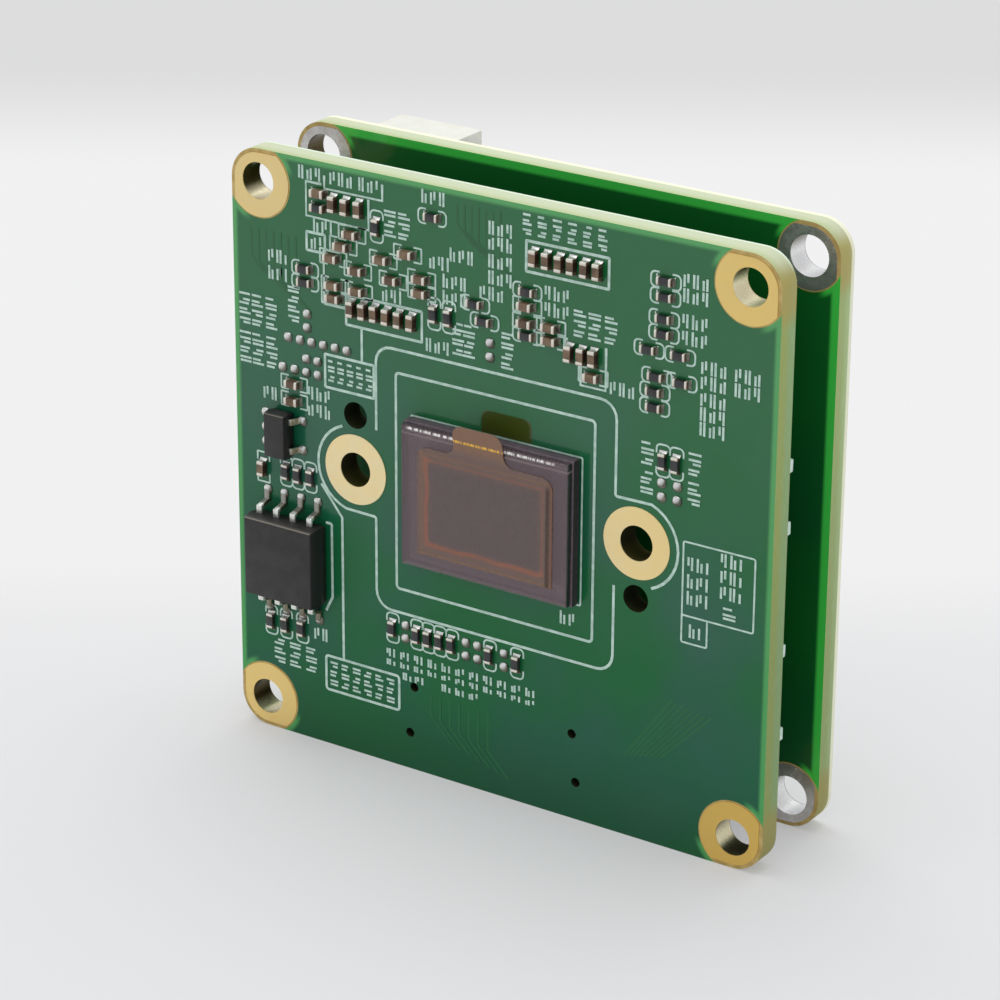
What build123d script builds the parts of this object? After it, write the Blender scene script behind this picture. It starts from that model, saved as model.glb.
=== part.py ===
# Camera module of two stacked boards: an image sensor board carried in front of a
# processor board by a stacking connector. X runs to the right as seen from the sensor
# side, Y runs from the sensor side to the rear, Z is up. Sizes are in millimetres.
from build123d import *
import os

os.makedirs("parts", exist_ok=True)

# Both boards
BOARD_SIZE = 38.0
BOARD_CORNER = 2.0
BOARD_THICKNESS = 1.6
STACK_GAP = 5.0
HOLE_INSET = 2.0
PAD_THICKNESS = 0.05
PAD_MARGIN = 0.25

# Sensor board holes, as finished diameters
SENSOR_HOLE = 2.3
SENSOR_PAD = 4.5
LENS_HOLE = 2.2
LENS_PAD = 4.5
LENS_PITCH = 20.0
LOCATING_HOLE = 1.7
LOCATING_X = 10.0
LOCATING_Z = 3.5
PEG_HOLE = 0.6

# Processor board holes
PROCESSOR_HOLE = 2.5
PROCESSOR_PAD = 4.1

# Image sensor
SENSOR_AT = (0.1, -0.2)
SENSOR_X = 12.0
SENSOR_Z = 9.2
SENSOR_BODY = 0.65
SENSOR_FLOOR = 0.2
SENSOR_RIM = 0.4
SHELF_WIDTH = 0.55
SHELF_END = 0.3
DIE_THICKNESS = 0.2
DIE_GAP = 0.1
LAND_HEIGHT = 0.1
LAND_SIZE = 0.7
LAND_PITCH = 1.5
LANDS_PER_ROW = 8
WIRE_SIZE = 0.05
WIRE_PITCH = 0.65
WIRES_PER_ROW = 16
GLASS_THICKNESS = 0.5
GLASS_INSET = 0.1
GLASS_BEVEL = 0.08

# Protective film on the cover glass, with its pull tab at the top
FILM_THICKNESS = 0.05
FILM_X = 9.6
FILM_Z = 6.9
FILM_AT = (0.2, -0.25)
FILM_CORNER = 0.8
TAB_WIDTH = 3.5
TAB_SHIFT = -0.35
TAB_LENGTH = 2.0
TAB_CORNER = 0.7
TAB_ROOT = 0.7
TAB_LIFT = 0.3

# Eight-lead memory chip
MEMORY_AT = (-14.78, -6.76)
MEMORY_X = 5.23
MEMORY_Z = 5.28
MEMORY_TOP = 1.75
MEMORY_STANDOFF = 0.1
MEMORY_SEAM = 0.25
MEMORY_DRAFT = 8.0
MEMORY_LEAD_PITCH = 1.27
MEMORY_LEAD_SPAN = 7.9
MEMORY_LEAD_WIDTH = 0.4
MEMORY_LEAD_THICKNESS = 0.2
MEMORY_SHOULDER = 0.45
MEMORY_FOOT = 0.65

# Five-lead regulator
REGULATOR_AT = (-15.35, 1.3)
REGULATOR_X = 1.6
REGULATOR_Z = 2.9
REGULATOR_TOP = 1.15
REGULATOR_STANDOFF = 0.08
REGULATOR_SEAM = 0.16
REGULATOR_DRAFT = 8.0
REGULATOR_LEAD_PITCH = 0.95
REGULATOR_LEAD_SPAN = 2.8
REGULATOR_LEAD_WIDTH = 0.4
REGULATOR_LEAD_THICKNESS = 0.13
REGULATOR_SHOULDER = 0.13
REGULATOR_FOOT = 0.3

# Chip capacitors, resistors and the ferrite bead
CHIP_LENGTH = 1.0
CHIP_WIDTH = 0.5
CAPACITOR_HEIGHT = 0.5
RESISTOR_HEIGHT = 0.35
FERRITE_HEIGHT = 0.5
EDGE_PART_LENGTH = 1.6
EDGE_PART_WIDTH = 0.8
EDGE_PART_HEIGHT = 0.8
BARE_PAD = 0.55
BARE_PAD_HEIGHT = 0.06

# Stacking connector between the boards
STACK_X = 0.0
STACK_EDGE = 4.0
CONTACT_PITCH = 1.0
CONTACT_WIDTH = 0.4
CONTACT_THICKNESS = 0.15
PLUG_LENGTH = 12.0
PLUG_WIDTH = 2.2
PLUG_FOOT = 1.6
EAR_HEIGHT = 1.2
EAR_LENGTH = 1.6
EAR_WIDTH = 4.4
EAR_CLEARANCE = 0.2
PEG_LENGTH = 1.2
PEG_RISE = 1.6
PEG_DROP = 1.55
PEG_INSET = 0.27
PEG_OUTSET = 0.05
PEG_CLEARANCE = 0.05
PLUG_CLEARANCE = 0.1
RECEPTACLE_WALL = 0.9
RECEPTACLE_END = 0.7
SPRING_SPACE = 0.6
LEDGE_HEIGHT = 0.6
LEDGE_LENGTH = 1.2
NOTCH_CLEARANCE = 0.05
SPRING_FOOT = 0.6
SPRING_TOUCH = 0.02
SPRING_APEX = 2.6
SPRING_TOP = 3.1

# Wafer sockets on the rear
SOCKET_DEPTH = 2.9
SOCKET_EDGE = 0.6
SOCKET_HEIGHT = 4.25
SOCKET_WALL = 0.5
SOCKET_FLOOR = 0.85
PIN_PITCH = 1.0
PIN_SIZE = 0.3
PIN_FOOT = 0.8
PIN_TIP_GAP = 0.5
PIN_MARGIN = 1.5
TAB_SIZE = 1.2
TAB_THICKNESS = 0.25
TAB_HEIGHT = 1.0
POWER_PINS = 4
POWER_X = -12.3
CONTROL_PINS = 6
CONTROL_X = -9.0

# Rear chips
PROCESSOR_AT = (0.5, 1.0)
PROCESSOR_SIZE = 12.0
PROCESSOR_HEIGHT = 0.9
BALL_SIZE = 0.8
BALL_PITCH = 3.6
BALL_HEIGHT = 0.25
FLASH_AT = (11.5, 2.0)
FLASH_X = 6.0
FLASH_Z = 5.0
FLASH_HEIGHT = 0.75
FLASH_LAND_PITCH = 1.27
CONVERTER_SIZE = 3.0
CONVERTER_HEIGHT = 0.8
CONVERTER_LAND_PITCH = 0.95
CHIP_LAND_LENGTH = 0.5
CHIP_LAND_WIDTH = 0.4
CHIP_LAND_HEIGHT = 0.05
CRYSTAL_AT = (-9.0, 4.5)
CRYSTAL_X = 3.2
CRYSTAL_Z = 2.5
CRYSTAL_BASE = 0.5
CRYSTAL_LID = 0.25
CRYSTAL_INSET = 0.15
INDUCTOR_SIZE = 4.0
INDUCTOR_HEIGHT = 2.0
INDUCTOR_CORNER = 0.7
INDUCTOR_END_WIDTH = 2.4
INDUCTOR_END_THICKNESS = 0.15
BULK_LENGTH = 3.5
BULK_WIDTH = 2.8
BULK_HEIGHT = 1.9
BULK_END_WIDTH = 2.2
BULK_END_THICKNESS = 0.15
BULK_END_HEIGHT = 1.1

# Where the parts stand, as (x, height) from the board's centre
CAPACITORS_UPRIGHT = [
    (-11.4, 16.6), (-10.45, 16.6), (-9.5, 16.6), (-17.0, -1.4),
    (5.3, 10.75), (6.13, 10.75), (6.96, 10.75),
]
CAPACITOR_ROWS = [(-7.925, 10.35), (5.0, 16.0)]
CAPACITOR_SPACING = 0.865
CAPACITORS_PER_ROW = 6
CAPACITORS_LEVEL = [
    (-12.45, 17.1), (-10.1, 14.95), (-10.75, 14.1), (-11.5, 13.2), (-9.7, 12.75),
    (-7.85, 13.8), (-6.1, 14.5), (-7.15, 12.65), (-5.1, 13.15), (-5.1, 12.3),
    (-11.4, 11.5), (-11.4, 10.7), (-9.65, 11.5), (6.85, 9.6), (2.3, 12.95),
    (2.3, 11.95), (3.95, 12.0), (3.95, 11.2), (-14.55, 4.6), (-14.55, 3.5),
]
FERRITE_AT = (-12.45, 16.2)
RESISTORS_UPRIGHT = [
    (-8.3, 15.75), (-4.2, 11.15), (-3.15, 11.15), (11.65, 5.5), (12.55, 5.5),
    (-15.25, -1.3), (-14.35, -1.3), (-13.4, -1.3),
    (-16.6, -11.6), (-15.45, -11.6), (-14.2, -11.6),
    (-7.3, -9.8), (-5.5, -9.8), (-4.65, -9.8), (-3.8, -9.8), (-2.9, -9.8),
    (-0.15, -9.8), (1.8, -9.8),
]
RESISTORS_LEVEL = [
    (-4.35, 17.05), (-13.6, 12.1), (-13.6, 11.25), (-1.3, 12.35), (-0.65, 11.4),
    (2.3, 13.85), (2.3, 11.15), (11.55, 16.3), (11.55, 15.35), (11.5, 14.05),
    (11.5, 13.15), (10.55, 12.05), (12.6, 12.05), (11.1, 10.5), (12.75, 10.5),
    (11.0, 9.6), (11.0, 8.65),
]
BARE_PAD_SPACING = 0.87
BARE_PAD_ROW = (-12.755, 7.5)
BARE_PADS_PER_ROW = 6
BARE_PAD_PAIRS = [
    (-6.35, -9.85), (-1.9, -9.85), (-1.05, -9.85), (0.86, -9.85), (-13.5, 8.8),
    (-13.6, 5.92), (-12.76, 5.92), (-0.26, 9.7), (11.6, 3.68), (12.65, 3.68),
]
BARE_PAD_SINGLES = [(-15.4, 5.5), (-14.5, 5.5)]
EDGE_PART_MARGIN = 0.25
EDGE_PART_LEVELS = [6.1, 2.2, -5.4, -10.7]
CONVERTERS = [(0.0, 12.5), (11.0, 7.0)]
INDUCTORS = [(5.0, 12.5), (11.0, 11.6)]
BULK_CAPACITORS = [(-12.3, 10.6), (-6.6, 11.4), (12.2, -5.5)]
REAR_CAPACITOR_ROW = (0.0, -6.6)
REAR_CAPACITOR_SPACING = 2.0
REAR_CAPACITOR_COUNT = 5
REAR_RESISTOR_ROW = (-9.4, -1.5)
REAR_RESISTOR_SPACING = 1.6
REAR_RESISTOR_COUNT = 3

# Depths: the tallest front chip and the sockets set the overall depth
front_reach = MEMORY_TOP
sensor_y = (SOCKET_HEIGHT + 2 * BOARD_THICKNESS + STACK_GAP - front_reach) / -2
half_board = BOARD_SIZE / 2

# Places that follow the boards' edges and the stacking connector's length
hole_pitch = BOARD_SIZE - 2 * HOLE_INSET
stack_at = (STACK_X, STACK_EDGE - half_board)
socket_level = half_board - SOCKET_EDGE - SOCKET_DEPTH / 2
power_at = (POWER_X, socket_level)
control_at = (CONTROL_X, -socket_level)
edge_part_x = half_board - EDGE_PART_MARGIN - EDGE_PART_LENGTH / 2
well_x = PLUG_LENGTH + 2 * PLUG_CLEARANCE
contacts_per_row = int((well_x - 2 * LEDGE_LENGTH - CONTACT_WIDTH) / CONTACT_PITCH) + 1
ear_middle = well_x / 2 + RECEPTACLE_END - EAR_LENGTH / 2
peg_places = [
    (STACK_X + side * (ear_middle + shift), stack_at[1] + rise)
    for side in (-1, 1)
    for shift, rise in ((-PEG_INSET, PEG_RISE), (PEG_OUTSET, -PEG_DROP))
]

# Board faces, all looking to the front, so a positive height stands towards the viewer
sensor_front = Plane(origin=(0, sensor_y, half_board), x_dir=(1, 0, 0), z_dir=(0, -1, 0))
sensor_rear = sensor_front.offset(-BOARD_THICKNESS)
processor_front = sensor_rear.offset(-STACK_GAP)
processor_rear = processor_front.offset(-BOARD_THICKNESS)


# Sensor board laminate with its holes
with BuildPart() as sensor_board:
    with BuildSketch(sensor_front):
        RectangleRounded(BOARD_SIZE, BOARD_SIZE, BOARD_CORNER)
        with GridLocations(hole_pitch, hole_pitch, 2, 2):
            Circle(SENSOR_HOLE / 2, mode=Mode.SUBTRACT)
        with GridLocations(LENS_PITCH, 0, 2, 1):
            Circle(LENS_HOLE / 2, mode=Mode.SUBTRACT)
        with Locations((-LOCATING_X, LOCATING_Z), (LOCATING_X, -LOCATING_Z)):
            Circle(LOCATING_HOLE / 2, mode=Mode.SUBTRACT)
        with Locations(*peg_places):
            Circle(PEG_HOLE / 2, mode=Mode.SUBTRACT)
    extrude(amount=-BOARD_THICKNESS)

# Pads round the corner holes, held back from the board's edge
with BuildPart() as sensor_corner_pads:
    with BuildSketch(sensor_front):
        with GridLocations(hole_pitch, hole_pitch, 2, 2):
            Circle(SENSOR_PAD / 2)
            Circle(SENSOR_HOLE / 2, mode=Mode.SUBTRACT)
        RectangleRounded(
            BOARD_SIZE - 2 * PAD_MARGIN,
            BOARD_SIZE - 2 * PAD_MARGIN,
            BOARD_CORNER - PAD_MARGIN,
            mode=Mode.INTERSECT,
        )
    extrude(amount=PAD_THICKNESS)

# Pads round the screw holes of the lens holder
with BuildPart() as sensor_lens_pads:
    with BuildSketch(sensor_front):
        with GridLocations(LENS_PITCH, 0, 2, 1):
            Circle(LENS_PAD / 2)
            Circle(LENS_HOLE / 2, mode=Mode.SUBTRACT)
    extrude(amount=PAD_THICKNESS)

# Solder lands under the image sensor
with BuildPart() as sensor_lands:
    with BuildSketch(sensor_front):
        with Locations(SENSOR_AT):
            with GridLocations(LAND_PITCH, SENSOR_Z - 2 * LAND_SIZE, LANDS_PER_ROW, 2):
                Rectangle(LAND_SIZE, LAND_SIZE)
    extrude(amount=LAND_HEIGHT)

# Open-cavity sensor body: a rim for the glass, a bond shelf and a pocket for the die
shelf_height = LAND_HEIGHT + SENSOR_FLOOR + DIE_THICKNESS
rim_height = LAND_HEIGHT + SENSOR_BODY
cavity_x = SENSOR_X - 2 * SENSOR_RIM
cavity_z = SENSOR_Z - 2 * SENSOR_RIM
pocket_x = cavity_x - 2 * SHELF_END
pocket_z = cavity_z - 2 * SHELF_WIDTH
with BuildPart() as sensor_package:
    with BuildSketch(sensor_front.offset(LAND_HEIGHT)):
        with Locations(SENSOR_AT):
            Rectangle(SENSOR_X, SENSOR_Z)
    extrude(amount=SENSOR_BODY)
    with BuildSketch(sensor_front.offset(shelf_height)):
        with Locations(SENSOR_AT):
            Rectangle(cavity_x, cavity_z)
    extrude(amount=rim_height - shelf_height, mode=Mode.SUBTRACT)
    with BuildSketch(sensor_front.offset(LAND_HEIGHT + SENSOR_FLOOR)):
        with Locations(SENSOR_AT):
            Rectangle(pocket_x, pocket_z)
    extrude(amount=DIE_THICKNESS, mode=Mode.SUBTRACT)

with BuildPart() as sensor_die:
    with BuildSketch(sensor_front.offset(LAND_HEIGHT + SENSOR_FLOOR)):
        with Locations(SENSOR_AT):
            Rectangle(pocket_x - 2 * DIE_GAP, pocket_z - 2 * DIE_GAP)
    extrude(amount=DIE_THICKNESS)

# Bond wires bridge the gap between the die's edge and the shelf, above and below
wire_length = DIE_GAP + SHELF_WIDTH
with BuildPart() as bond_wires:
    with BuildSketch(sensor_front.offset(shelf_height)):
        with Locations(SENSOR_AT):
            with GridLocations(WIRE_PITCH, pocket_z, WIRES_PER_ROW, 2):
                Rectangle(WIRE_SIZE, wire_length)
    extrude(amount=WIRE_SIZE)

with BuildPart() as cover_glass:
    with BuildSketch(sensor_front.offset(rim_height)):
        with Locations(SENSOR_AT):
            Rectangle(SENSOR_X - 2 * GLASS_INSET, SENSOR_Z - 2 * GLASS_INSET)
    extrude(amount=GLASS_THICKNESS)
    chamfer(faces().sort_by(Axis.Y)[0].edges(), GLASS_BEVEL)

# Protective film: a sheet folded up a little at the tab, trimmed to the film's outline
glass_top = rim_height + GLASS_THICKNESS
film_left = FILM_AT[0] - FILM_X / 2
film_bottom = FILM_AT[1] - FILM_Z / 2
film_top = FILM_AT[1] + FILM_Z / 2
tab_middle = FILM_AT[0] + TAB_SHIFT
tab_top = film_top + TAB_LENGTH
film_side = Plane(
    origin=(film_left, sensor_y - glass_top, half_board), x_dir=(0, 0, 1), z_dir=(1, 0, 0)
)
with BuildPart() as protective_film:
    with BuildSketch(film_side):
        Polygon(
            (film_bottom, 0),
            (film_top, 0),
            (tab_top, TAB_LIFT),
            (tab_top, TAB_LIFT + FILM_THICKNESS),
            (film_top, FILM_THICKNESS),
            (film_bottom, FILM_THICKNESS),
            align=None,
        )
    extrude(amount=FILM_X)
    with BuildSketch(sensor_front):
        with Locations(FILM_AT):
            Rectangle(FILM_X, FILM_Z)
        fillet(vertices().group_by(Axis.Y)[-1], FILM_CORNER)
        with Locations((tab_middle, film_top - FILM_CORNER)):
            Rectangle(TAB_WIDTH, TAB_LENGTH + FILM_CORNER, align=(Align.CENTER, Align.MIN))
        fillet(vertices().group_by(Axis.Y)[-1], TAB_CORNER)
        tab_roots = vertices().sort_by(lambda v: abs(v.X - tab_middle) + abs(v.Y - film_top))[:2]
        fillet(tab_roots, TAB_ROOT)
    extrude(amount=glass_top + 2 * TAB_LIFT, mode=Mode.INTERSECT)


def gull_wing(body_half, reach, level, shoulder, foot, thickness):
    """Side profile of a lead, as (distance from the chip's middle, height) points."""
    knee = body_half + shoulder
    ankle = reach - foot
    return [
        (body_half, level + thickness / 2),
        (knee + thickness / 2, level + thickness / 2),
        (ankle + thickness / 2, thickness),
        (reach, thickness),
        (reach, 0),
        (ankle - thickness / 2, 0),
        (knee - thickness / 2, level - thickness / 2),
        (body_half, level - thickness / 2),
    ]


# Memory chip: drafted body about its moulding seam, four gull-wing leads above and below
memory_seam = (MEMORY_STANDOFF + MEMORY_TOP) / 2
with BuildPart() as memory_body:
    with BuildSketch(sensor_front.offset(memory_seam - MEMORY_SEAM / 2)) as memory_lower:
        with Locations(MEMORY_AT):
            Rectangle(MEMORY_X, MEMORY_Z)
    extrude(amount=MEMORY_SEAM)
    extrude(
        memory_lower.sketch,
        amount=-(memory_seam - MEMORY_SEAM / 2 - MEMORY_STANDOFF),
        taper=MEMORY_DRAFT,
    )
    with BuildSketch(sensor_front.offset(memory_seam + MEMORY_SEAM / 2)):
        with Locations(MEMORY_AT):
            Rectangle(MEMORY_X, MEMORY_Z)
    extrude(amount=MEMORY_TOP - memory_seam - MEMORY_SEAM / 2, taper=MEMORY_DRAFT)

memory_lead_planes = [
    Plane(
        origin=(MEMORY_AT[0] + (i - 1.5) * MEMORY_LEAD_PITCH, sensor_y, half_board + MEMORY_AT[1]),
        x_dir=(0, 0, 1),
        z_dir=(1, 0, 0),
    )
    for i in range(4)
]
with BuildPart() as memory_leads:
    with BuildSketch(*memory_lead_planes):
        Polygon(
            *gull_wing(
                MEMORY_Z / 2,
                MEMORY_LEAD_SPAN / 2,
                memory_seam,
                MEMORY_SHOULDER,
                MEMORY_FOOT,
                MEMORY_LEAD_THICKNESS,
            ),
            align=None,
        )
    extrude(amount=MEMORY_LEAD_WIDTH / 2, both=True)
    mirror(about=Plane.XY.offset(half_board + MEMORY_AT[1]))

# Regulator: three leads on the left side, two on the right
regulator_seam = (REGULATOR_STANDOFF + REGULATOR_TOP) / 2
with BuildPart() as regulator_body:
    with BuildSketch(sensor_front.offset(regulator_seam - REGULATOR_SEAM / 2)) as regulator_lower:
        with Locations(REGULATOR_AT):
            Rectangle(REGULATOR_X, REGULATOR_Z)
    extrude(amount=REGULATOR_SEAM)
    extrude(
        regulator_lower.sketch,
        amount=-(regulator_seam - REGULATOR_SEAM / 2 - REGULATOR_STANDOFF),
        taper=REGULATOR_DRAFT,
    )
    with BuildSketch(sensor_front.offset(regulator_seam + REGULATOR_SEAM / 2)):
        with Locations(REGULATOR_AT):
            Rectangle(REGULATOR_X, REGULATOR_Z)
    extrude(amount=REGULATOR_TOP - regulator_seam - REGULATOR_SEAM / 2, taper=REGULATOR_DRAFT)

regulator_lead_planes = [
    Plane(
        origin=(REGULATOR_AT[0], sensor_y, half_board + REGULATOR_AT[1] + i * REGULATOR_LEAD_PITCH),
        x_dir=(side, 0, 0),
        z_dir=(0, 0, -side),
    )
    for side, rows in ((-1, (-1, 0, 1)), (1, (-1, 1)))
    for i in rows
]
with BuildPart() as regulator_leads:
    with BuildSketch(*regulator_lead_planes):
        Polygon(
            *gull_wing(
                REGULATOR_X / 2,
                REGULATOR_LEAD_SPAN / 2,
                regulator_seam,
                REGULATOR_SHOULDER,
                REGULATOR_FOOT,
                REGULATOR_LEAD_THICKNESS,
            ),
            align=None,
        )
    extrude(amount=REGULATOR_LEAD_WIDTH / 2, both=True)

# Chip passives on the sensor board
with BuildPart() as capacitors:
    with BuildSketch(sensor_front):
        with Locations(*CAPACITORS_UPRIGHT):
            Rectangle(CHIP_WIDTH, CHIP_LENGTH)
        with Locations(*CAPACITOR_ROWS):
            with GridLocations(CAPACITOR_SPACING, 0, CAPACITORS_PER_ROW, 1):
                Rectangle(CHIP_WIDTH, CHIP_LENGTH)
        with Locations(*CAPACITORS_LEVEL):
            Rectangle(CHIP_LENGTH, CHIP_WIDTH)
    extrude(amount=CAPACITOR_HEIGHT)

with BuildPart() as resistors:
    with BuildSketch(sensor_front):
        with Locations(*RESISTORS_UPRIGHT):
            Rectangle(CHIP_WIDTH, CHIP_LENGTH)
        with Locations(*RESISTORS_LEVEL):
            Rectangle(CHIP_LENGTH, CHIP_WIDTH)
    extrude(amount=RESISTOR_HEIGHT)

with BuildPart() as ferrite_bead:
    with BuildSketch(sensor_front):
        with Locations(FERRITE_AT):
            Rectangle(CHIP_LENGTH, CHIP_WIDTH)
    extrude(amount=FERRITE_HEIGHT)

# Tinned pads with nothing fitted
with BuildPart() as solder_pads:
    with BuildSketch(sensor_front):
        with Locations(BARE_PAD_ROW):
            with GridLocations(BARE_PAD_SPACING, 0, BARE_PADS_PER_ROW, 1):
                Rectangle(BARE_PAD, BARE_PAD)
        with Locations(*BARE_PAD_PAIRS):
            with GridLocations(0, BARE_PAD_SPACING, 1, 2):
                Rectangle(BARE_PAD, BARE_PAD)
        with Locations(*BARE_PAD_SINGLES):
            Rectangle(BARE_PAD, BARE_PAD)
    extrude(amount=BARE_PAD_HEIGHT)

# Small parts on the rear of the sensor board, beside its right edge
with BuildPart() as edge_parts:
    with BuildSketch(sensor_rear):
        with Locations(*[(edge_part_x, level) for level in EDGE_PART_LEVELS]):
            Rectangle(EDGE_PART_LENGTH, EDGE_PART_WIDTH)
    extrude(amount=-EDGE_PART_HEIGHT)

# Stacking plug on the sensor board: a tongue between two ears with pegs into the board
plug_height = STACK_GAP - LEDGE_HEIGHT
plug_half = PLUG_WIDTH / 2
with BuildPart() as board_plug:
    with BuildSketch(sensor_rear):
        with Locations(stack_at):
            Rectangle(PLUG_LENGTH, PLUG_WIDTH)
    extrude(amount=-plug_height)
    with BuildSketch(sensor_rear):
        with Locations(stack_at):
            with GridLocations(2 * ear_middle, 0, 2, 1):
                Rectangle(EAR_LENGTH, EAR_WIDTH)
    extrude(amount=-EAR_HEIGHT)
    with BuildSketch(sensor_rear):
        with Locations(*peg_places):
            RegularPolygon(PEG_HOLE / 2 - PEG_CLEARANCE, 6)
    extrude(amount=PEG_LENGTH)

# Plug contacts: a foot on the board and a strip up each side of the tongue
contact_xs = [
    STACK_X + (i - (contacts_per_row - 1) / 2) * CONTACT_PITCH for i in range(contacts_per_row)
]
plug_contact_top = plug_height - 2 * CONTACT_THICKNESS
plug_contact_face = plug_half + CONTACT_THICKNESS
plug_sides = [
    Plane(
        origin=(x, sensor_y + BOARD_THICKNESS, half_board + stack_at[1]),
        x_dir=(0, 0, side),
        z_dir=(side, 0, 0),
    )
    for x in contact_xs
    for side in (-1, 1)
]
with BuildPart() as plug_contacts:
    with BuildSketch(*[p.rotated((180, 0, 0)) for p in plug_sides]):
        Polygon(
            (plug_half, 0),
            (plug_half + PLUG_FOOT, 0),
            (plug_half + PLUG_FOOT, CONTACT_THICKNESS),
            (plug_contact_face, CONTACT_THICKNESS),
            (plug_contact_face, plug_contact_top),
            (plug_half, plug_contact_top),
            align=None,
        )
    extrude(amount=CONTACT_WIDTH / 2, both=True)

# Receptacle on the processor board: an open frame, a ledge at each end for the tongue
receptacle_height = STACK_GAP - EAR_HEIGHT - EAR_CLEARANCE
well_z = PLUG_WIDTH + 2 * SPRING_SPACE
with BuildPart() as board_receptacle:
    with BuildSketch(processor_front):
        with Locations(stack_at):
            Rectangle(well_x + 2 * RECEPTACLE_END, well_z + 2 * RECEPTACLE_WALL)
            Rectangle(well_x, well_z, mode=Mode.SUBTRACT)
    extrude(amount=receptacle_height)
    with BuildSketch(processor_front):
        with Locations(stack_at):
            with GridLocations(well_x - LEDGE_LENGTH, 0, 2, 1):
                Rectangle(LEDGE_LENGTH, well_z)
    extrude(amount=LEDGE_HEIGHT)
    with BuildSketch(processor_front):
        with Locations(stack_at):
            with GridLocations(CONTACT_PITCH, well_z + RECEPTACLE_WALL, contacts_per_row, 2):
                Rectangle(CONTACT_WIDTH + 2 * NOTCH_CLEARANCE, RECEPTACLE_WALL)
    extrude(amount=CONTACT_THICKNESS + NOTCH_CLEARANCE, mode=Mode.SUBTRACT)

# Receptacle springs: a foot under the wall, then a leaf that bows in to the plug contact
spring_foot_end = well_z / 2 + RECEPTACLE_WALL + SPRING_FOOT
spring_root = well_z / 2 - CONTACT_THICKNESS
spring_face = plug_contact_face + SPRING_TOUCH
receptacle_sides = [
    Plane(
        origin=(x, sensor_y + BOARD_THICKNESS + STACK_GAP, half_board + stack_at[1]),
        x_dir=(0, 0, side),
        z_dir=(side, 0, 0),
    )
    for x in contact_xs
    for side in (-1, 1)
]
with BuildPart() as receptacle_contacts:
    with BuildSketch(*receptacle_sides):
        Polygon(
            (spring_foot_end, 0),
            (spring_foot_end, CONTACT_THICKNESS),
            (spring_root + CONTACT_THICKNESS, CONTACT_THICKNESS),
            (spring_face + CONTACT_THICKNESS, SPRING_APEX),
            (spring_root, SPRING_TOP),
            (spring_root - CONTACT_THICKNESS, SPRING_TOP),
            (spring_face, SPRING_APEX),
            (spring_root - CONTACT_THICKNESS / 2, 0),
            align=None,
        )
    extrude(amount=CONTACT_WIDTH / 2, both=True)

# Processor board laminate and the pads round its corner holes
with BuildPart() as processor_board:
    with BuildSketch(processor_front):
        RectangleRounded(BOARD_SIZE, BOARD_SIZE, BOARD_CORNER)
        with GridLocations(hole_pitch, hole_pitch, 2, 2):
            Circle(PROCESSOR_HOLE / 2, mode=Mode.SUBTRACT)
    extrude(amount=-BOARD_THICKNESS)

with BuildPart() as processor_corner_pads:
    with BuildSketch(processor_front):
        with GridLocations(hole_pitch, hole_pitch, 2, 2):
            Circle(PROCESSOR_PAD / 2)
            Circle(PROCESSOR_HOLE / 2, mode=Mode.SUBTRACT)
        RectangleRounded(
            BOARD_SIZE - 2 * PAD_MARGIN,
            BOARD_SIZE - 2 * PAD_MARGIN,
            BOARD_CORNER - PAD_MARGIN,
            mode=Mode.INTERSECT,
        )
    extrude(amount=PAD_THICKNESS)

# Wafer sockets: pins rise from feet on the board, through the floor, into the open well
power_x = 2 * PIN_MARGIN + (POWER_PINS - 1) * PIN_PITCH
control_x = 2 * PIN_MARGIN + (CONTROL_PINS - 1) * PIN_PITCH
pin_length = SOCKET_HEIGHT - PIN_TIP_GAP
foot_length = SOCKET_DEPTH / 2 + PIN_FOOT + PIN_SIZE / 2
with BuildPart() as power_socket_pins:
    with BuildSketch(processor_rear):
        with Locations(power_at):
            with GridLocations(PIN_PITCH, 0, POWER_PINS, 1):
                Rectangle(PIN_SIZE, PIN_SIZE)
    extrude(amount=-pin_length)
    with BuildSketch(processor_rear):
        with Locations((power_at[0], power_at[1] + PIN_SIZE / 2 - foot_length / 2)):
            with GridLocations(PIN_PITCH, 0, POWER_PINS, 1):
                Rectangle(PIN_SIZE, foot_length)
    extrude(amount=-PIN_SIZE)

with BuildPart() as control_socket_pins:
    with BuildSketch(processor_rear):
        with Locations(control_at):
            with GridLocations(PIN_PITCH, 0, CONTROL_PINS, 1):
                Rectangle(PIN_SIZE, PIN_SIZE)
    extrude(amount=-pin_length)
    with BuildSketch(processor_rear):
        with Locations((control_at[0], control_at[1] - PIN_SIZE / 2 + foot_length / 2)):
            with GridLocations(PIN_PITCH, 0, CONTROL_PINS, 1):
                Rectangle(PIN_SIZE, foot_length)
    extrude(amount=-PIN_SIZE)

with BuildPart() as power_socket:
    with BuildSketch(processor_rear):
        with Locations(power_at):
            Rectangle(power_x, SOCKET_DEPTH)
    extrude(amount=-SOCKET_HEIGHT)
    with BuildSketch(processor_rear.offset(-SOCKET_HEIGHT)):
        with Locations(power_at):
            Rectangle(power_x - 2 * SOCKET_WALL, SOCKET_DEPTH - 2 * SOCKET_WALL)
    extrude(amount=SOCKET_HEIGHT - SOCKET_FLOOR, mode=Mode.SUBTRACT)
    add(power_socket_pins.part, mode=Mode.SUBTRACT)

with BuildPart() as control_socket:
    with BuildSketch(processor_rear):
        with Locations(control_at):
            Rectangle(control_x, SOCKET_DEPTH)
    extrude(amount=-SOCKET_HEIGHT)
    with BuildSketch(processor_rear.offset(-SOCKET_HEIGHT)):
        with Locations(control_at):
            Rectangle(control_x - 2 * SOCKET_WALL, SOCKET_DEPTH - 2 * SOCKET_WALL)
    extrude(amount=SOCKET_HEIGHT - SOCKET_FLOOR, mode=Mode.SUBTRACT)
    add(control_socket_pins.part, mode=Mode.SUBTRACT)

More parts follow.
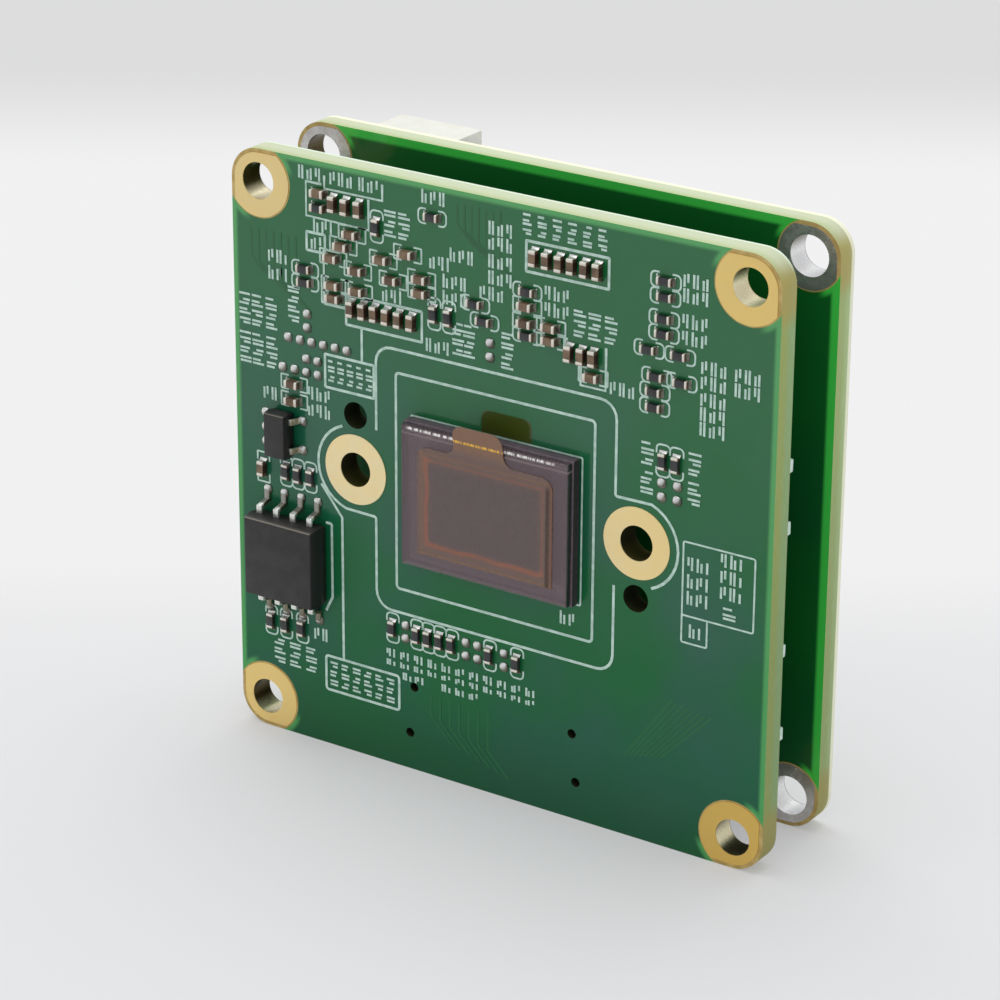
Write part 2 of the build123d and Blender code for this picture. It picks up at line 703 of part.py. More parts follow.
# Solder tabs that hold the sockets' ends to the board
with BuildPart() as socket_tabs:
    with BuildSketch(processor_rear):
        with Locations(power_at):
            with GridLocations(power_x + TAB_THICKNESS, 0, 2, 1):
                Rectangle(TAB_THICKNESS, TAB_SIZE)
        with Locations(control_at):
            with GridLocations(control_x + TAB_THICKNESS, 0, 2, 1):
                Rectangle(TAB_THICKNESS, TAB_SIZE)
    extrude(amount=-TAB_HEIGHT)

# Image processor on its solder balls
with BuildPart() as processor_balls:
    with BuildSketch(processor_rear):
        with Locations(PROCESSOR_AT):
            with GridLocations(BALL_PITCH, BALL_PITCH, 3, 3):
                Rectangle(BALL_SIZE, BALL_SIZE)
    extrude(amount=-BALL_HEIGHT)

with BuildPart() as processor_chip:
    with BuildSketch(processor_rear.offset(-BALL_HEIGHT)):
        with Locations(PROCESSOR_AT):
            Rectangle(PROCESSOR_SIZE, PROCESSOR_SIZE)
    extrude(amount=-PROCESSOR_HEIGHT)

# Flash memory and power converters, flat chips on short lands
with BuildPart() as flash_lands:
    with BuildSketch(processor_rear):
        with Locations(FLASH_AT):
            with GridLocations(FLASH_X - CHIP_LAND_LENGTH, FLASH_LAND_PITCH, 2, 4):
                Rectangle(CHIP_LAND_LENGTH, CHIP_LAND_WIDTH)
    extrude(amount=-CHIP_LAND_HEIGHT)

with BuildPart() as flash_chip:
    with BuildSketch(processor_rear.offset(-CHIP_LAND_HEIGHT)):
        with Locations(FLASH_AT):
            Rectangle(FLASH_X, FLASH_Z)
    extrude(amount=-FLASH_HEIGHT)

with BuildPart() as converter_lands:
    with BuildSketch(processor_rear):
        with Locations(*CONVERTERS):
            with GridLocations(CONVERTER_SIZE - CHIP_LAND_LENGTH, CONVERTER_LAND_PITCH, 2, 3):
                Rectangle(CHIP_LAND_LENGTH, CHIP_LAND_WIDTH)
    extrude(amount=-CHIP_LAND_HEIGHT)

with BuildPart() as converter_chips:
    with BuildSketch(processor_rear.offset(-CHIP_LAND_HEIGHT)):
        with Locations(*CONVERTERS):
            Rectangle(CONVERTER_SIZE, CONVERTER_SIZE)
    extrude(amount=-CONVERTER_HEIGHT)

# Crystal can
with BuildPart() as crystal_base:
    with BuildSketch(processor_rear):
        with Locations(CRYSTAL_AT):
            Rectangle(CRYSTAL_X, CRYSTAL_Z)
    extrude(amount=-CRYSTAL_BASE)

with BuildPart() as crystal_lid:
    with BuildSketch(processor_rear.offset(-CRYSTAL_BASE)):
        with Locations(CRYSTAL_AT):
            Rectangle(CRYSTAL_X - 2 * CRYSTAL_INSET, CRYSTAL_Z - 2 * CRYSTAL_INSET)
    extrude(amount=-CRYSTAL_LID)

# Power inductors with their end plates
with BuildPart() as inductor_bodies:
    with BuildSketch(processor_rear):
        with Locations(*INDUCTORS):
            Rectangle(INDUCTOR_SIZE - 2 * INDUCTOR_END_THICKNESS, INDUCTOR_SIZE)
        chamfer(vertices(), INDUCTOR_CORNER)
    extrude(amount=-INDUCTOR_HEIGHT)

with BuildPart() as inductor_ends:
    with BuildSketch(processor_rear):
        with Locations(*INDUCTORS):
            with GridLocations(INDUCTOR_SIZE - INDUCTOR_END_THICKNESS, 0, 2, 1):
                Rectangle(INDUCTOR_END_THICKNESS, INDUCTOR_END_WIDTH)
    extrude(amount=-INDUCTOR_HEIGHT / 2)

# Bulk capacitors with their end plates
with BuildPart() as bulk_capacitor_bodies:
    with BuildSketch(processor_rear):
        with Locations(*BULK_CAPACITORS):
            Rectangle(BULK_LENGTH - 2 * BULK_END_THICKNESS, BULK_WIDTH)
    extrude(amount=-BULK_HEIGHT)

with BuildPart() as bulk_capacitor_ends:
    with BuildSketch(processor_rear):
        with Locations(*BULK_CAPACITORS):
            with GridLocations(BULK_LENGTH - BULK_END_THICKNESS, 0, 2, 1):
                Rectangle(BULK_END_THICKNESS, BULK_END_WIDTH)
    extrude(amount=-BULK_END_HEIGHT)

# Chip passives on the rear
with BuildPart() as rear_capacitors:
    with BuildSketch(processor_rear):
        with Locations(REAR_CAPACITOR_ROW):
            with GridLocations(REAR_CAPACITOR_SPACING, 0, REAR_CAPACITOR_COUNT, 1):
                Rectangle(CHIP_WIDTH, CHIP_LENGTH)
    extrude(amount=-CAPACITOR_HEIGHT)

with BuildPart() as rear_resistors:
    with BuildSketch(processor_rear):
        with Locations(REAR_RESISTOR_ROW):
            with GridLocations(REAR_RESISTOR_SPACING, 0, REAR_RESISTOR_COUNT, 1):
                Rectangle(CHIP_WIDTH, CHIP_LENGTH)
    extrude(amount=-RESISTOR_HEIGHT)


# Labels and files
NAMED_PARTS = {
    "sensor_board": sensor_board,
    "sensor_corner_pads": sensor_corner_pads,
    "sensor_lens_pads": sensor_lens_pads,
    "sensor_lands": sensor_lands,
    "sensor_package": sensor_package,
    "sensor_die": sensor_die,
    "bond_wires": bond_wires,
    "cover_glass": cover_glass,
    "protective_film": protective_film,
    "memory_body": memory_body,
    "memory_leads": memory_leads,
    "regulator_body": regulator_body,
    "regulator_leads": regulator_leads,
    "capacitors": capacitors,
    "resistors": resistors,
    "ferrite_bead": ferrite_bead,
    "solder_pads": solder_pads,
    "edge_parts": edge_parts,
    "board_plug": board_plug,
    "plug_contacts": plug_contacts,
    "board_receptacle": board_receptacle,
    "receptacle_contacts": receptacle_contacts,
    "processor_board": processor_board,
    "processor_corner_pads": processor_corner_pads,
    "power_socket": power_socket,
    "power_socket_pins": power_socket_pins,
    "control_socket": control_socket,
    "control_socket_pins": control_socket_pins,
    "socket_tabs": socket_tabs,
    "processor_chip": processor_chip,
    "processor_balls": processor_balls,
    "flash_chip": flash_chip,
    "flash_lands": flash_lands,
    "converter_chips": converter_chips,
    "converter_lands": converter_lands,
    "crystal_base": crystal_base,
    "crystal_lid": crystal_lid,
    "inductor_bodies": inductor_bodies,
    "inductor_ends": inductor_ends,
    "bulk_capacitor_bodies": bulk_capacitor_bodies,
    "bulk_capacitor_ends": bulk_capacitor_ends,
    "rear_capacitors": rear_capacitors,
    "rear_resistors": rear_resistors,
}
for name, builder in NAMED_PARTS.items():
    builder.part.label = name
    export_step(builder.part, f"parts/{name}.step")
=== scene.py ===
import math
import random

import bmesh
import bpy
from mathutils import Matrix, Vector


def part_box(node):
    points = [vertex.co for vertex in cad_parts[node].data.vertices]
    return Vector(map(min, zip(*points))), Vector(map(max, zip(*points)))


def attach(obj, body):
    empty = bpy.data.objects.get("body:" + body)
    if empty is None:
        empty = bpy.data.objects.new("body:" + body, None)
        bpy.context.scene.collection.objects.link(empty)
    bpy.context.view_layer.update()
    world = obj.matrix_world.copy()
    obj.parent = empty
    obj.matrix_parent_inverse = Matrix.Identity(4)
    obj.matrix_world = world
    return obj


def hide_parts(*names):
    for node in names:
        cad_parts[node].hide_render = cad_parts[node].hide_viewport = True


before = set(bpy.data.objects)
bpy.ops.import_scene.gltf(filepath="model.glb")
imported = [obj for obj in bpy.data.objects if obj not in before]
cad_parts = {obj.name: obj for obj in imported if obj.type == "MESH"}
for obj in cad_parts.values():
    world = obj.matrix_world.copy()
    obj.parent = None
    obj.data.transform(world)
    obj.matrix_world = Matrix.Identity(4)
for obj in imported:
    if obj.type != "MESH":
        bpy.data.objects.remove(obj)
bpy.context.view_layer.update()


# ------------------------
# Sensor board: glass cloth and epoxy laminate, copper on both faces under a glossy green
# mask. The copper stops short of the routed edge, so the mask is brighter there. The corner
# holes are plated through, the lens-holder holes are painted dark as shade, the rest are bare.

MM = 0.001
BOARD_MIDDLE = 19.0
HALF_BOARD = 19.0
BOARD_THICK = 1.6
BOARD_CORNER = 2.0
CORNER_HOLE = 17.0
LENS_HOLE = 10.0
LENS_HOLE_RADIUS = 1.13
SENSOR_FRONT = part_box("sensor_board")[0].y / MM
SENSOR_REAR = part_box("sensor_board")[1].y / MM
# Where the mask takes a painted amber reflection and shadow of the film's tab
TINT_MIDDLE, TINT_HALF, TINT_FOOT, TINT_TOP, TINT_CORNER = 0.92, 1.84, 4.4, 6.0, 0.55


def paint(red, green, blue):
    """A colour as a paint chart gives it, 0 to 255, for a shader's socket."""
    levels = [level / 255 for level in (red, green, blue)]
    return (*(c / 12.92 if c <= 0.04045 else ((c + 0.055) / 1.055) ** 2.4 for c in levels), 1.0)


class Wire:
    """A socket in a material's node tree, with the sums that are written on it."""

    def __init__(self, socket):
        self.socket = socket

    def node(self, kind, settings=None, inputs=None, output=0):
        """Adds any node of this tree: its settings first, then its sockets' values or links."""
        tree = self.socket.id_data
        made = tree.nodes.new("ShaderNode" + kind)
        for name, value in (settings or {}).items():
            setattr(made, name, value)
        for name, value in (inputs or {}).items():
            if isinstance(value, Wire):
                tree.links.new(value.socket, made.inputs[name])
            else:
                made.inputs[name].default_value = value
        return Wire(made.outputs[output])

    def sum(self, operation, other=0.0, swapped=False):
        """This value and another through one operation of the Math node."""
        first, second = (other, self) if swapped else (self, other)
        return self.node("Math", {"operation": operation}, {0: first, 1: second})

    def __add__(self, other):
        return self.sum("ADD", other)

    __radd__ = __add__

    def __sub__(self, other):
        return self.sum("SUBTRACT", other)

    def __rsub__(self, other):
        return self.sum("SUBTRACT", other, swapped=True)

    def __mul__(self, other):
        return self.sum("MULTIPLY", other)

    __rmul__ = __mul__

    def __truediv__(self, other):
        return self.sum("DIVIDE", other)

    def __abs__(self):
        return self.sum("ABSOLUTE")

    def between(self, low, high, start=0, end=1):
        """Runs smoothly from start to end as the value goes from low to high."""
        return self.node("MapRange", {"interpolation_type": "SMOOTHSTEP"}, {
            "Value": self, "From Min": low, "From Max": high, "To Min": start, "To Max": end})

    def over(self, under, upper):
        """The colour under, and upper where this mask is 1. Either may be three chart numbers."""
        under, upper = [c if isinstance(c, Wire) else paint(*c) for c in (under, upper)]
        return self.node("Mix", {"data_type": "RGBA"}, {0: self, 6: under, 7: upper}, output=2)

    def axes(self):
        """The three numbers of a vector."""
        split = self.node("SeparateXYZ", inputs={0: self}).socket.node
        return [Wire(split.outputs[i]) for i in range(3)]

    def stretched(self, *factors):
        """This point with each axis multiplied by its factor."""
        return self.node("VectorMath", {"operation": "MULTIPLY"}, {0: self, 1: factors})

    def noise(self, scale, detail=2, roughness=0.5):
        """Noise in waves of about 1/scale mm, from 0 to 1."""
        return self.node("TexNoise", inputs={
            "Vector": self, "Scale": scale, "Detail": detail, "Roughness": roughness})

    def relief(self, strength, distance):
        """This height as a normal, distance in mm."""
        return self.node("Bump", inputs={
            "Strength": strength, "Distance": distance * MM, "Height": self})


def new_finish(name, **constants):
    """A material whose shader has these constants, with its point in mm and its face normal."""
    material = bpy.data.materials.new(name)
    material.use_nodes = True
    shader = material.node_tree.nodes["Principled BSDF"]
    for socket, value in constants.items():
        shader.inputs[socket.replace("_", " ")].default_value = value
    coordinates = material.node_tree.nodes.new("ShaderNodeTexCoord")
    point = Wire(coordinates.outputs["Object"])
    point = point.node("VectorMath", {"operation": "SCALE"}, {0: point, "Scale": 1 / MM})
    return material, point, Wire(coordinates.outputs["Normal"])


def feed(material, **sockets):
    """Joins what varies over the surface to the material's shader."""
    shader = material.node_tree.nodes["Principled BSDF"]
    for socket, wire in sockets.items():
        material.node_tree.links.new(wire.socket, shader.inputs[socket.replace("_", " ")])


def from_outline(across, up):
    """Distance from the board's outline, negative inside, of a point so far from its middle."""
    square = HALF_BOARD - BOARD_CORNER
    out_x, out_z = (across - square).sum("MAXIMUM"), (up - square).sum("MAXIMUM")
    arc = (out_x * out_x + out_z * out_z).sum("SQRT")
    flat = (across - square).sum("MAXIMUM", up - square).sum("MINIMUM")
    return arc + flat - BOARD_CORNER


def around(across, up, x, z):
    """Distance in the board's plane from a point."""
    return ((across - x) * (across - x) + (up - z) * (up - z)).sum("SQRT")


def laminate(name, front, mask_tints, cut_tints, rim, rim_width, pad_reach, hole, plated, shine,
             far_line=0.0, far_tint=(232, 246, 226), details=None):
    """Board finish: glossy mask on the faces, bright rim, cut laminate at the edge, plated holes.

    far_line is 1 where a pale painted highlight follows the whole rear side of the edge, and 0
    where only the top has it. details adds the painted shade and reflection that one board alone has.
    """
    material, point, normal = new_finish(name, IOR=1.5, Specular_IOR_Level=0.2, Coat_Roughness=0.06)
    x, y, z = point.axes()
    to_right, to_rear, to_top = normal.axes()
    across, up = abs(x), abs(z - BOARD_MIDDLE)
    outside = from_outline(across, up)
    corner = around(across, up, CORNER_HOLE, CORNER_HOLE)
    facing = abs(to_rear).between(0.5, 0.6)

    # The mask and its rim, and resin where the mask is open round the pads. The mask is darker
    # towards the bottom edge, and along that edge the rim is left off as painted shade.
    cloudy = point.noise(0.12)
    mask = (cloudy.between(0.35, 0.65) * z.between(36, 16)).over(*mask_tints)
    mask = (z.between(6, 0.5) * 0.6).over(mask, (10, 84, 46))
    edge = outside.between(-rim_width - 0.16, -rim_width + 0.12)
    mask = (edge * z.between(0.5, 1.6)).over(mask, rim)
    wider = corner + to_rear.between(0.5, 0.6) * 0.42
    tongue = wider.between(pad_reach + 0.55, pad_reach + 0.2) * outside.between(-1.5, -0.7)
    mask = tongue.over(mask, rim)
    resin = point.noise(1.5, 3).between(0.3, 0.7).over((188, 158, 92), (216, 188, 122))
    opening = wider.between(pad_reach + 0.12, pad_reach + 0.05)
    mask = opening.over(mask, resin)

    # The cut: cloth fibres in resin, brown at the corners. Painted light and shade on it: darker on
    # faces to the right, pale on top, a highlight along the rear side, and dark inside the holes
    through = (y - front) / BOARD_THICK
    fibres = point.stretched(1.2, 9, 1.2).noise(1, 4)
    cut = (through + (fibres - 0.5) * 0.5).between(0.3, 0.72).over(*cut_tints)
    cut = (fibres.between(0.5, 0.8) * 0.4).over(cut, (206, 206, 170))
    cut = (corner.between(3.2, 2.2) * 0.7).over(cut, (192, 170, 102))
    cut = (to_right.between(0.3, 0.9) * z.between(36, 8) * 0.25).over(cut, (70, 92, 60))
    top = to_top.between(0.3, 0.9)
    pale = through.between(0, 0.5).over((194, 208, 160), (212, 220, 190))
    cut = (top * 0.9).over(cut, pale)
    far = through.between(0.84 - 0.1 * far_line, 0.93 - 0.1 * far_line) * top.sum("MAXIMUM", far_line)
    cut = (far * 0.95).over(cut, far_tint)
    cut = outside.between(-0.5, -0.8).over(cut, top.over((28, 34, 16), (50, 52, 26)))

    # Painted reflection on the plating of the corner holes: bright where it faces the sweep above,
    # dark where it faces what is dark beside it
    metal = corner.between(hole + 0.04, hole + 0.02)
    lit = to_top - (to_right * 0.7 + 0.5) * x.between(4, -4) + 0.5
    plating = lit.between(-0.3, 0.7).over((84, 74, 42), plated)
    colour = metal.over(facing.over(cut, mask), plating)
    if details:
        colour = details(colour, x, z, facing, metal, to_top)
    film = z / (2 * HALF_BOARD) + (cloudy - 0.5) * 0.9
    grain = (point.noise(1.3, 3) - 0.5) * 0.08
    feed(material, Base_Color=colour, Roughness=facing.between(0, 1, 0.78, 0.4) - metal * 0.5 + grain,
         Coat_Weight=facing * (1 - opening) * film.between(0, 0.85, *shine), Metallic=metal * 0.6,
         Normal=(point.noise(9, 3) * (1 - facing * 0.85)).relief(0.25, 0.05))
    return material


def sensor_details(colour, x, z, facing, metal, to_top):
    """Painted shade in the lens and lower right holes, painted amber reflection and shadow of the tab."""
    up = z - BOARD_MIDDLE
    lens = around(abs(x), up, LENS_HOLE, 0).between(LENS_HOLE_RADIUS + 0.03, LENS_HOLE_RADIUS)
    colour = lens.over(colour, to_top.between(0.2, 0.9).over((44, 42, 20), (70, 68, 30)))
    shade = metal * to_top.between(0.5, 0.85) * x.between(4, 12) * z.between(12, 6)
    colour = (shade * 0.9).over(colour, (52, 46, 24))
    wide = (abs(x - TINT_MIDDLE) - TINT_HALF + TINT_CORNER).sum("MAXIMUM")
    high = (up - TINT_TOP + TINT_CORNER).sum("MAXIMUM")
    amber = (wide * wide + high * high).sum("SQRT").between(TINT_CORNER, TINT_CORNER - 0.14)
    amber = amber * up.between(TINT_FOOT, TINT_FOOT + 0.15)
    return (amber * facing * 0.9).over(colour, (66, 72, 2))


def dressed(node, material):
    """A CAD node keeps its shape and takes this material."""
    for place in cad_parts[node].material_slots:
        place.material = material


dressed("sensor_board", laminate(
    "front_laminate", SENSOR_FRONT, mask_tints=((12, 106, 54), (18, 96, 70)),
    cut_tints=((168, 182, 108), (158, 187, 132)), rim=(82, 170, 94), rim_width=0.3,
    pad_reach=2.25, hole=1.15, plated=(255, 245, 206), shine=(0.2, 0.95), details=sensor_details))


# ------------------------
# Printed legend and the copper tracks under the mask. The legend is white ink screened
# on the mask: frames round the sensor and the parts, brackets at the small chips and rows
# of short plain strokes beside them. Tracks show only as faint raised lines.

INK = 0.018
INK_STEP = 0.002
INK_STEPS = 7
FRAME_LINE = 0.18
BRACKET_LINE = 0.12
STROKE_LINE = 0.15
TRACK_LINE = 0.13
TRACK_RISE = 0.006


def new_tree(name, **kinds):
    """A geometry node tree with a mesh in and out and these named inputs.

    Returns the tree, a function that adds one node to it, and its input sockets.
    """
    tree = bpy.data.node_groups.new(name, "GeometryNodeTree")
    tree.interface.new_socket("Geometry", in_out="OUTPUT", socket_type="NodeSocketGeometry")
    for label, kind in {"Geometry": "Geometry", **kinds}.items():
        tree.interface.new_socket(label.replace("_", " "), in_out="INPUT",
                                  socket_type="NodeSocket" + kind)

    def step(kind, settings=None, **links):
        """Inputs are values, sockets, or nodes for their first output. _2 is the third input."""
        made = tree.nodes.new(kind if "Node" in kind else "GeometryNode" + kind)
        for label, value in (settings or {}).items():
            setattr(made, label, value)
        for label, value in links.items():
            socket = made.inputs[int(label[1:]) if label[1:].isdigit() else label.replace("_", " ")]
            if isinstance(value, bpy.types.Node):
                value = value.outputs[0]
            if isinstance(value, bpy.types.NodeSocket):
                tree.links.new(value, socket)
            else:
                socket.default_value = value
        return made

    return tree, step, tree.nodes.new("NodeGroupInput").outputs


def shown(name, mesh):
    """An object with this mesh, light or camera, in the scene."""
    piece = bpy.data.objects.new(name, mesh)
    bpy.context.scene.collection.objects.link(piece)
    return piece


def settled(piece, slot, *replaced):
    """Puts a piece on the one body, in the place of these CAD nodes. slot is not used."""
    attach(piece, "root")
    if replaced:
        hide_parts(*replaced)


def grown(name, vertices, edges, tree, attributes, **inputs):
    """Runs a geometry tree on points and edges, and returns an object with the plain mesh it makes."""
    mesh = bpy.data.meshes.new(name)
    mesh.from_pydata(vertices, edges, [])
    for label, (kind, values) in attributes.items():
        layer = mesh.attributes.new(label, kind, "POINT")
        layer.data.foreach_set("vector" if kind == "FLOAT_VECTOR" else "value", values)
    piece = shown(name, mesh)
    modifier = piece.modifiers.new(name, "NODES")
    modifier.node_group = tree
    for item in tree.interface.items_tree:
        label = item.name.replace(" ", "_")
        if item.in_out == "INPUT" and label in inputs:
            modifier[item.identifier] = inputs[label]
    bpy.context.view_layer.update()
    made = bpy.data.meshes.new_from_object(piece.evaluated_get(bpy.context.evaluated_depsgraph_get()))
    piece.modifiers.clear()
    piece.data = made
    made.name = name
    bpy.data.meshes.remove(mesh)
    return piece


# Lines are drawn flat in the XY plane with rounded bends, then stood up on the board's face
line_tree, step, given = new_tree("printed lines", Line_Width="Float", Level="Float", Ink="Material")
bend = step("InputNamedAttribute", {"data_type": "FLOAT"}, Name="bend")
curve = step("MeshToCurve", Mesh=given["Geometry"])
curve = step("FilletCurve", {"mode": "POLY"}, Curve=curve, Count=5, Radius=bend, Limit_Radius=True)
curve = step("SetCurveNormal", {"mode": "Z_UP"}, Curve=curve)
half = step("ShaderNodeMath", {"operation": "MULTIPLY"}, _0=given["Line Width"], _1=0.5)
left = step("ShaderNodeCombineXYZ", X=half)
right = step("ShaderNodeVectorMath", {"operation": "SCALE"}, _0=left, Scale=-1.0)
stroke = step("CurvePrimitiveLine", Start=left, End=right)
ribbon = step("CurveToMesh", Curve=curve, Profile_Curve=stroke)
level = step("ShaderNodeCombineXYZ", Y=given["Level"], Z=BOARD_MIDDLE * MM)
ribbon = step("Transform", Geometry=ribbon, Translation=level, Rotation=(math.radians(90), 0, 0))
ribbon = step("RealizeInstances", Geometry=ribbon)
ribbon = step("SetMaterial", Geometry=ribbon, Material=given["Ink"])
step("NodeGroupOutput", Geometry=ribbon)


def printed(name, runs, width, level, material, outward=-1):
    """Runs of (closed, [(x, z, bend radius), ...]) in mm, as flat strokes on a board's face.

    Runs that cross lie a hair apart. They face -Y or, with outward 1, +Y.
    """
    vertices, edges, bends = [], [], []
    for number, (closed, points) in enumerate(runs):
        first = len(vertices)
        lift = -outward * (number % INK_STEPS) * INK_STEP * MM
        vertices += [(x * MM, z * MM, lift) for x, z, _ in points]
        bends += [r * MM for _, _, r in points]
        edges += [(first + i, first + i + 1) for i in range(len(points) - 1)]
        if closed:
            edges.append((len(vertices) - 1, first))
    piece = grown(name, vertices, edges, line_tree, {"bend": ("FLOAT", bends)},
                  Line_Width=width * MM, Level=level * MM, Ink=material)
    work = bmesh.new()
    work.from_mesh(piece.data)
    bmesh.ops.reverse_faces(work, faces=[f for f in work.faces if f.normal.y * outward < 0])
    work.to_mesh(piece.data)
    work.free()
    settled(piece, "green_board")


def box_run(x0, x1, z0, z1, r=0.12):
    return True, [(x0, z1, r), (x1, z1, r), (x1, z0, r), (x0, z0, r)]


def arc_run(x, z, radius, start, end, steps=14):
    """Points on an arc, angles in degrees from the right, counted to the left."""
    turns = [math.radians(start + (end - start) * i / steps) for i in range(steps + 1)]
    return [(x + radius * math.cos(a), z + radius * math.sin(a), 0.0) for a in turns]


def strokes(x, z, count, height=0.86, upright=True, pitch=0.31):
    """A row of short plain strokes in pairs, as long as a printed mark of the same size."""
    made = []
    for i in range(count):
        kind = (i * 3 + int(abs(x * 7) + abs(z * 5))) % 5
        tall = height * (0.62, 1.0, 0.84, 0.96, 0.7)[kind] / 2
        shift = height * (0.15, 0.0, -0.06, 0.0, -0.14)[kind]
        off = (i - (count - 1) / 2) * pitch + (-0.035 if i % 2 else 0.035)
        ends = (off, shift - tall), (off, shift + tall)
        made.append((False, [(x + a, z + b, 0) if upright else (x + b, z + a, 0) for a, b in ends]))
    return made


def solids_of(node):
    """Middle and size, in mm, of each separate solid of a CAD node."""
    work = bmesh.new()
    work.from_mesh(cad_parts[node].data)
    bmesh.ops.remove_doubles(work, verts=work.verts, dist=1e-6)
    left, found = set(work.verts), []
    while left:
        reached, waiting = set(), [left.pop()]
        while waiting:
            vertex = waiting.pop()
            if vertex not in reached:
                reached.add(vertex)
                waiting += [e.other_vert(vertex) for e in vertex.link_edges]
        left -= reached
        low = Vector([min(v.co[i] for v in reached) for i in range(3)]) / MM
        high = Vector([max(v.co[i] for v in reached) for i in range(3)]) / MM
        found.append(((low + high) / 2, high - low))
    work.free()
    return sorted(found, key=lambda solid: tuple(round(c, 3) for c in solid[0]))


def brackets(middle, size, round_ends):
    """Open brackets round the two ends of a chip part."""
    level = size.x > size.z
    x, z = middle.x, middle.z - BOARD_MIDDLE
    long, wide, back = 0.98, 0.45, 0.42
    bend = 0.28 if round_ends else 0.05
    made = []
    for side in (-1, 1):
        shape = [(back, wide, 0), (long, wide, bend), (long, -wide, bend), (back, -wide, 0)]
        shape = [(side * a, b, c) for a, b, c in shape]
        made.append((False, [(x + a, z + b, c) if level else (x + b, z + a, c) for a, b, c in shape]))
    return made


legend_frames = [
    box_run(-7, 7.05, -7.05, 6.9, 0.25),
    (False, [(-8.45, 2.9, 0), (-8.45, 8.37, 1.1), (8.5, 8.37, 1.1), (8.5, 2.6, 0.15)]
     + arc_run(10, 0, 2.8, 70, -68)),
    (False, [(8.5, -3, 0), (8.5, -8.63, 1.1), (-8.5, -8.63, 1.1), (-8.5, -2.75, 0.15)]
     + arc_run(-10, 0, 2.8, 255, 110)),
    (False, [(-12.6, -1.5, 0), (-11.05, -3.4, 0.2), (-11.05, -13, 0)]),
    (False, [(-12.3, -4, 0), (-11.85, -4, 0.1), (-11.85, -8.9, 0.1), (-12.35, -9.9, 0)]),
    box_run(-12.4, -6.85, -15.25, -12.95, 0.2),
    box_run(-12.2, -8.6, 4.9, 7, 0.05),
    box_run(2.2, 7.8, 15.05, 16.9, 0.05),
    box_run(-10.6, -5.1, 9.2, 11.1, 0.05),
    (False, [(-9.47, 9.2, 0), (-9.47, 7, 0)]),
    (False, [(-12.1, 18.2, 0), (-12.1, 17.4, 0), (-7.9, 17.4, 0), (-7.9, 18.4, 0)]),
    (False, [(-12.3, 17.62, 0), (-13.45, 17.62, 0), (-13.45, 15.5, 0), (-8.9, 15.4, 0), (-8.9, 17.3, 0)]),
    box_run(-13.45, -12.1, 13.35, 14.5, 0.05),
    (False, [(-12.2, 10.2, 0), (-12.2, 13.6, 0), (-11, 13.6, 0)]),
    (False, [(-12.2, 10.2, 0), (-10.6, 10.2, 0)]),
    (False, [(4.85, 10.1, 0), (4.85, 11.5, 0), (5.1, 11.5, 0)]),
    (False, [(7.7, 11.5, 0), (7.7, 8.9, 0), (6, 8.9, 0), (6, 10, 0)]),
]
legend_brackets, legend_fine = [
    box_run(-5.9, 6.22, -4.9, 4.43, 0.1),
    box_run(13.15, 17.9, -3.7, 0.9),
    (False, [(13.15, -3.6, 0), (13.15, -5.4, 0.1), (14.85, -5.4, 0.1), (14.85, -3.7, 0)]),
], []
for place in solids_of("resistors"):
    legend_brackets += brackets(*place, True)
for middle, size in solids_of("capacitors"):
    framed = size.z > size.x or middle.z - BOARD_MIDDLE > 17
    if not framed or middle.x < -16:
        legend_brackets += brackets(middle, size, False)

# Rows of strokes: x, how many strokes, and each row's height; then those printed sideways
for x, count, *levels in [
    (-13.2, 6, 18.15), (-10.9, 6, 18.15), (-8.95, 5, 18.15), (-4.3, 6, 18.25), (-12.3, 5, 15),
    (-3.9, 5, 14.35), (-2.3, 6, 15.05), (-2.8, 6, 13.35, 12.35), (-0.2, 6, 13.2),
    (0.4, 6, 14.2, 17.2, 16.3, 15.2), (4.3, 6, 14.05, 13.05), (-4, 6, 9.15), (-7.3, 5, 11.65),
    (-15.7, 5, 12.5, 11.4), (8.8, 6, 9.2), (13.5, 6, 16.6, 15.7, 14.2, 13.2),
    (14.8, 6, 11.7, 10.8, 9.8, 8.9, 8), (17, 6, 11.7, 10.8), (14.1, 5, -0.4, -1.5, -2.55),
    (16.3, 5, 0.35, -0.65, -1.65), (5.3, 4, -5.95), (-16.4, 4, 3.6), (-12.7, 6, 4.25, 3.2),
    (-12.8, 4, -11.65), (14, 3, -4.6), (-12.8, 3, 13.9),
]:
    for z in levels:
        legend_fine += strokes(x, z, count)
for z, count, *columns in [
    (16.1, 6, -7.35, -6.35), (9.7, 8, -14.5), (8.7, 7, -18.2, -17.25, -16.2),
    (6.2, 7, -18.2, -17.25, -16.2), (12.6, 6, 5.9, 6.9, 8), (5.7, 5, 10.6), (3.9, 5, 10.6),
    (5.7, 5, 13.75), (3.9, 5, 13.75), (9.9, 7, -1.75, -2.5), (9.9, 8, 0.95), (-2.95, 3, 16.3),
    (-13.6, 6, -16, -14.8, -13.55),
]:
    for x in columns:
        legend_fine += strokes(x, z, count, upright=False)
for i in range(6):
    legend_fine += strokes(2.25 + i * 1.02, 17.85, 5, 0.62, upright=False, pitch=0.28)
    legend_fine += strokes(-11.8 + i * 0.86, -14.1, 6, 0.6, upright=False)
for i in range(5):
    legend_fine += strokes(-11.75 + i * 0.7, 5.95, 5, 0.5, upright=False)
for i in range(11):
    legend_fine += strokes(-7.5 + i * 1.02, -11.5, 3, 0.56, pitch=0.25)
    legend_fine += strokes(-7.5 + i * 1.02, -12.15, 3, 0.4, pitch=0.25)
for x in (-6.3, -5.4, -3.4, -2.4, -1.4):
    legend_fine += strokes(x, -12.85, 3, 0.5, pitch=0.25)

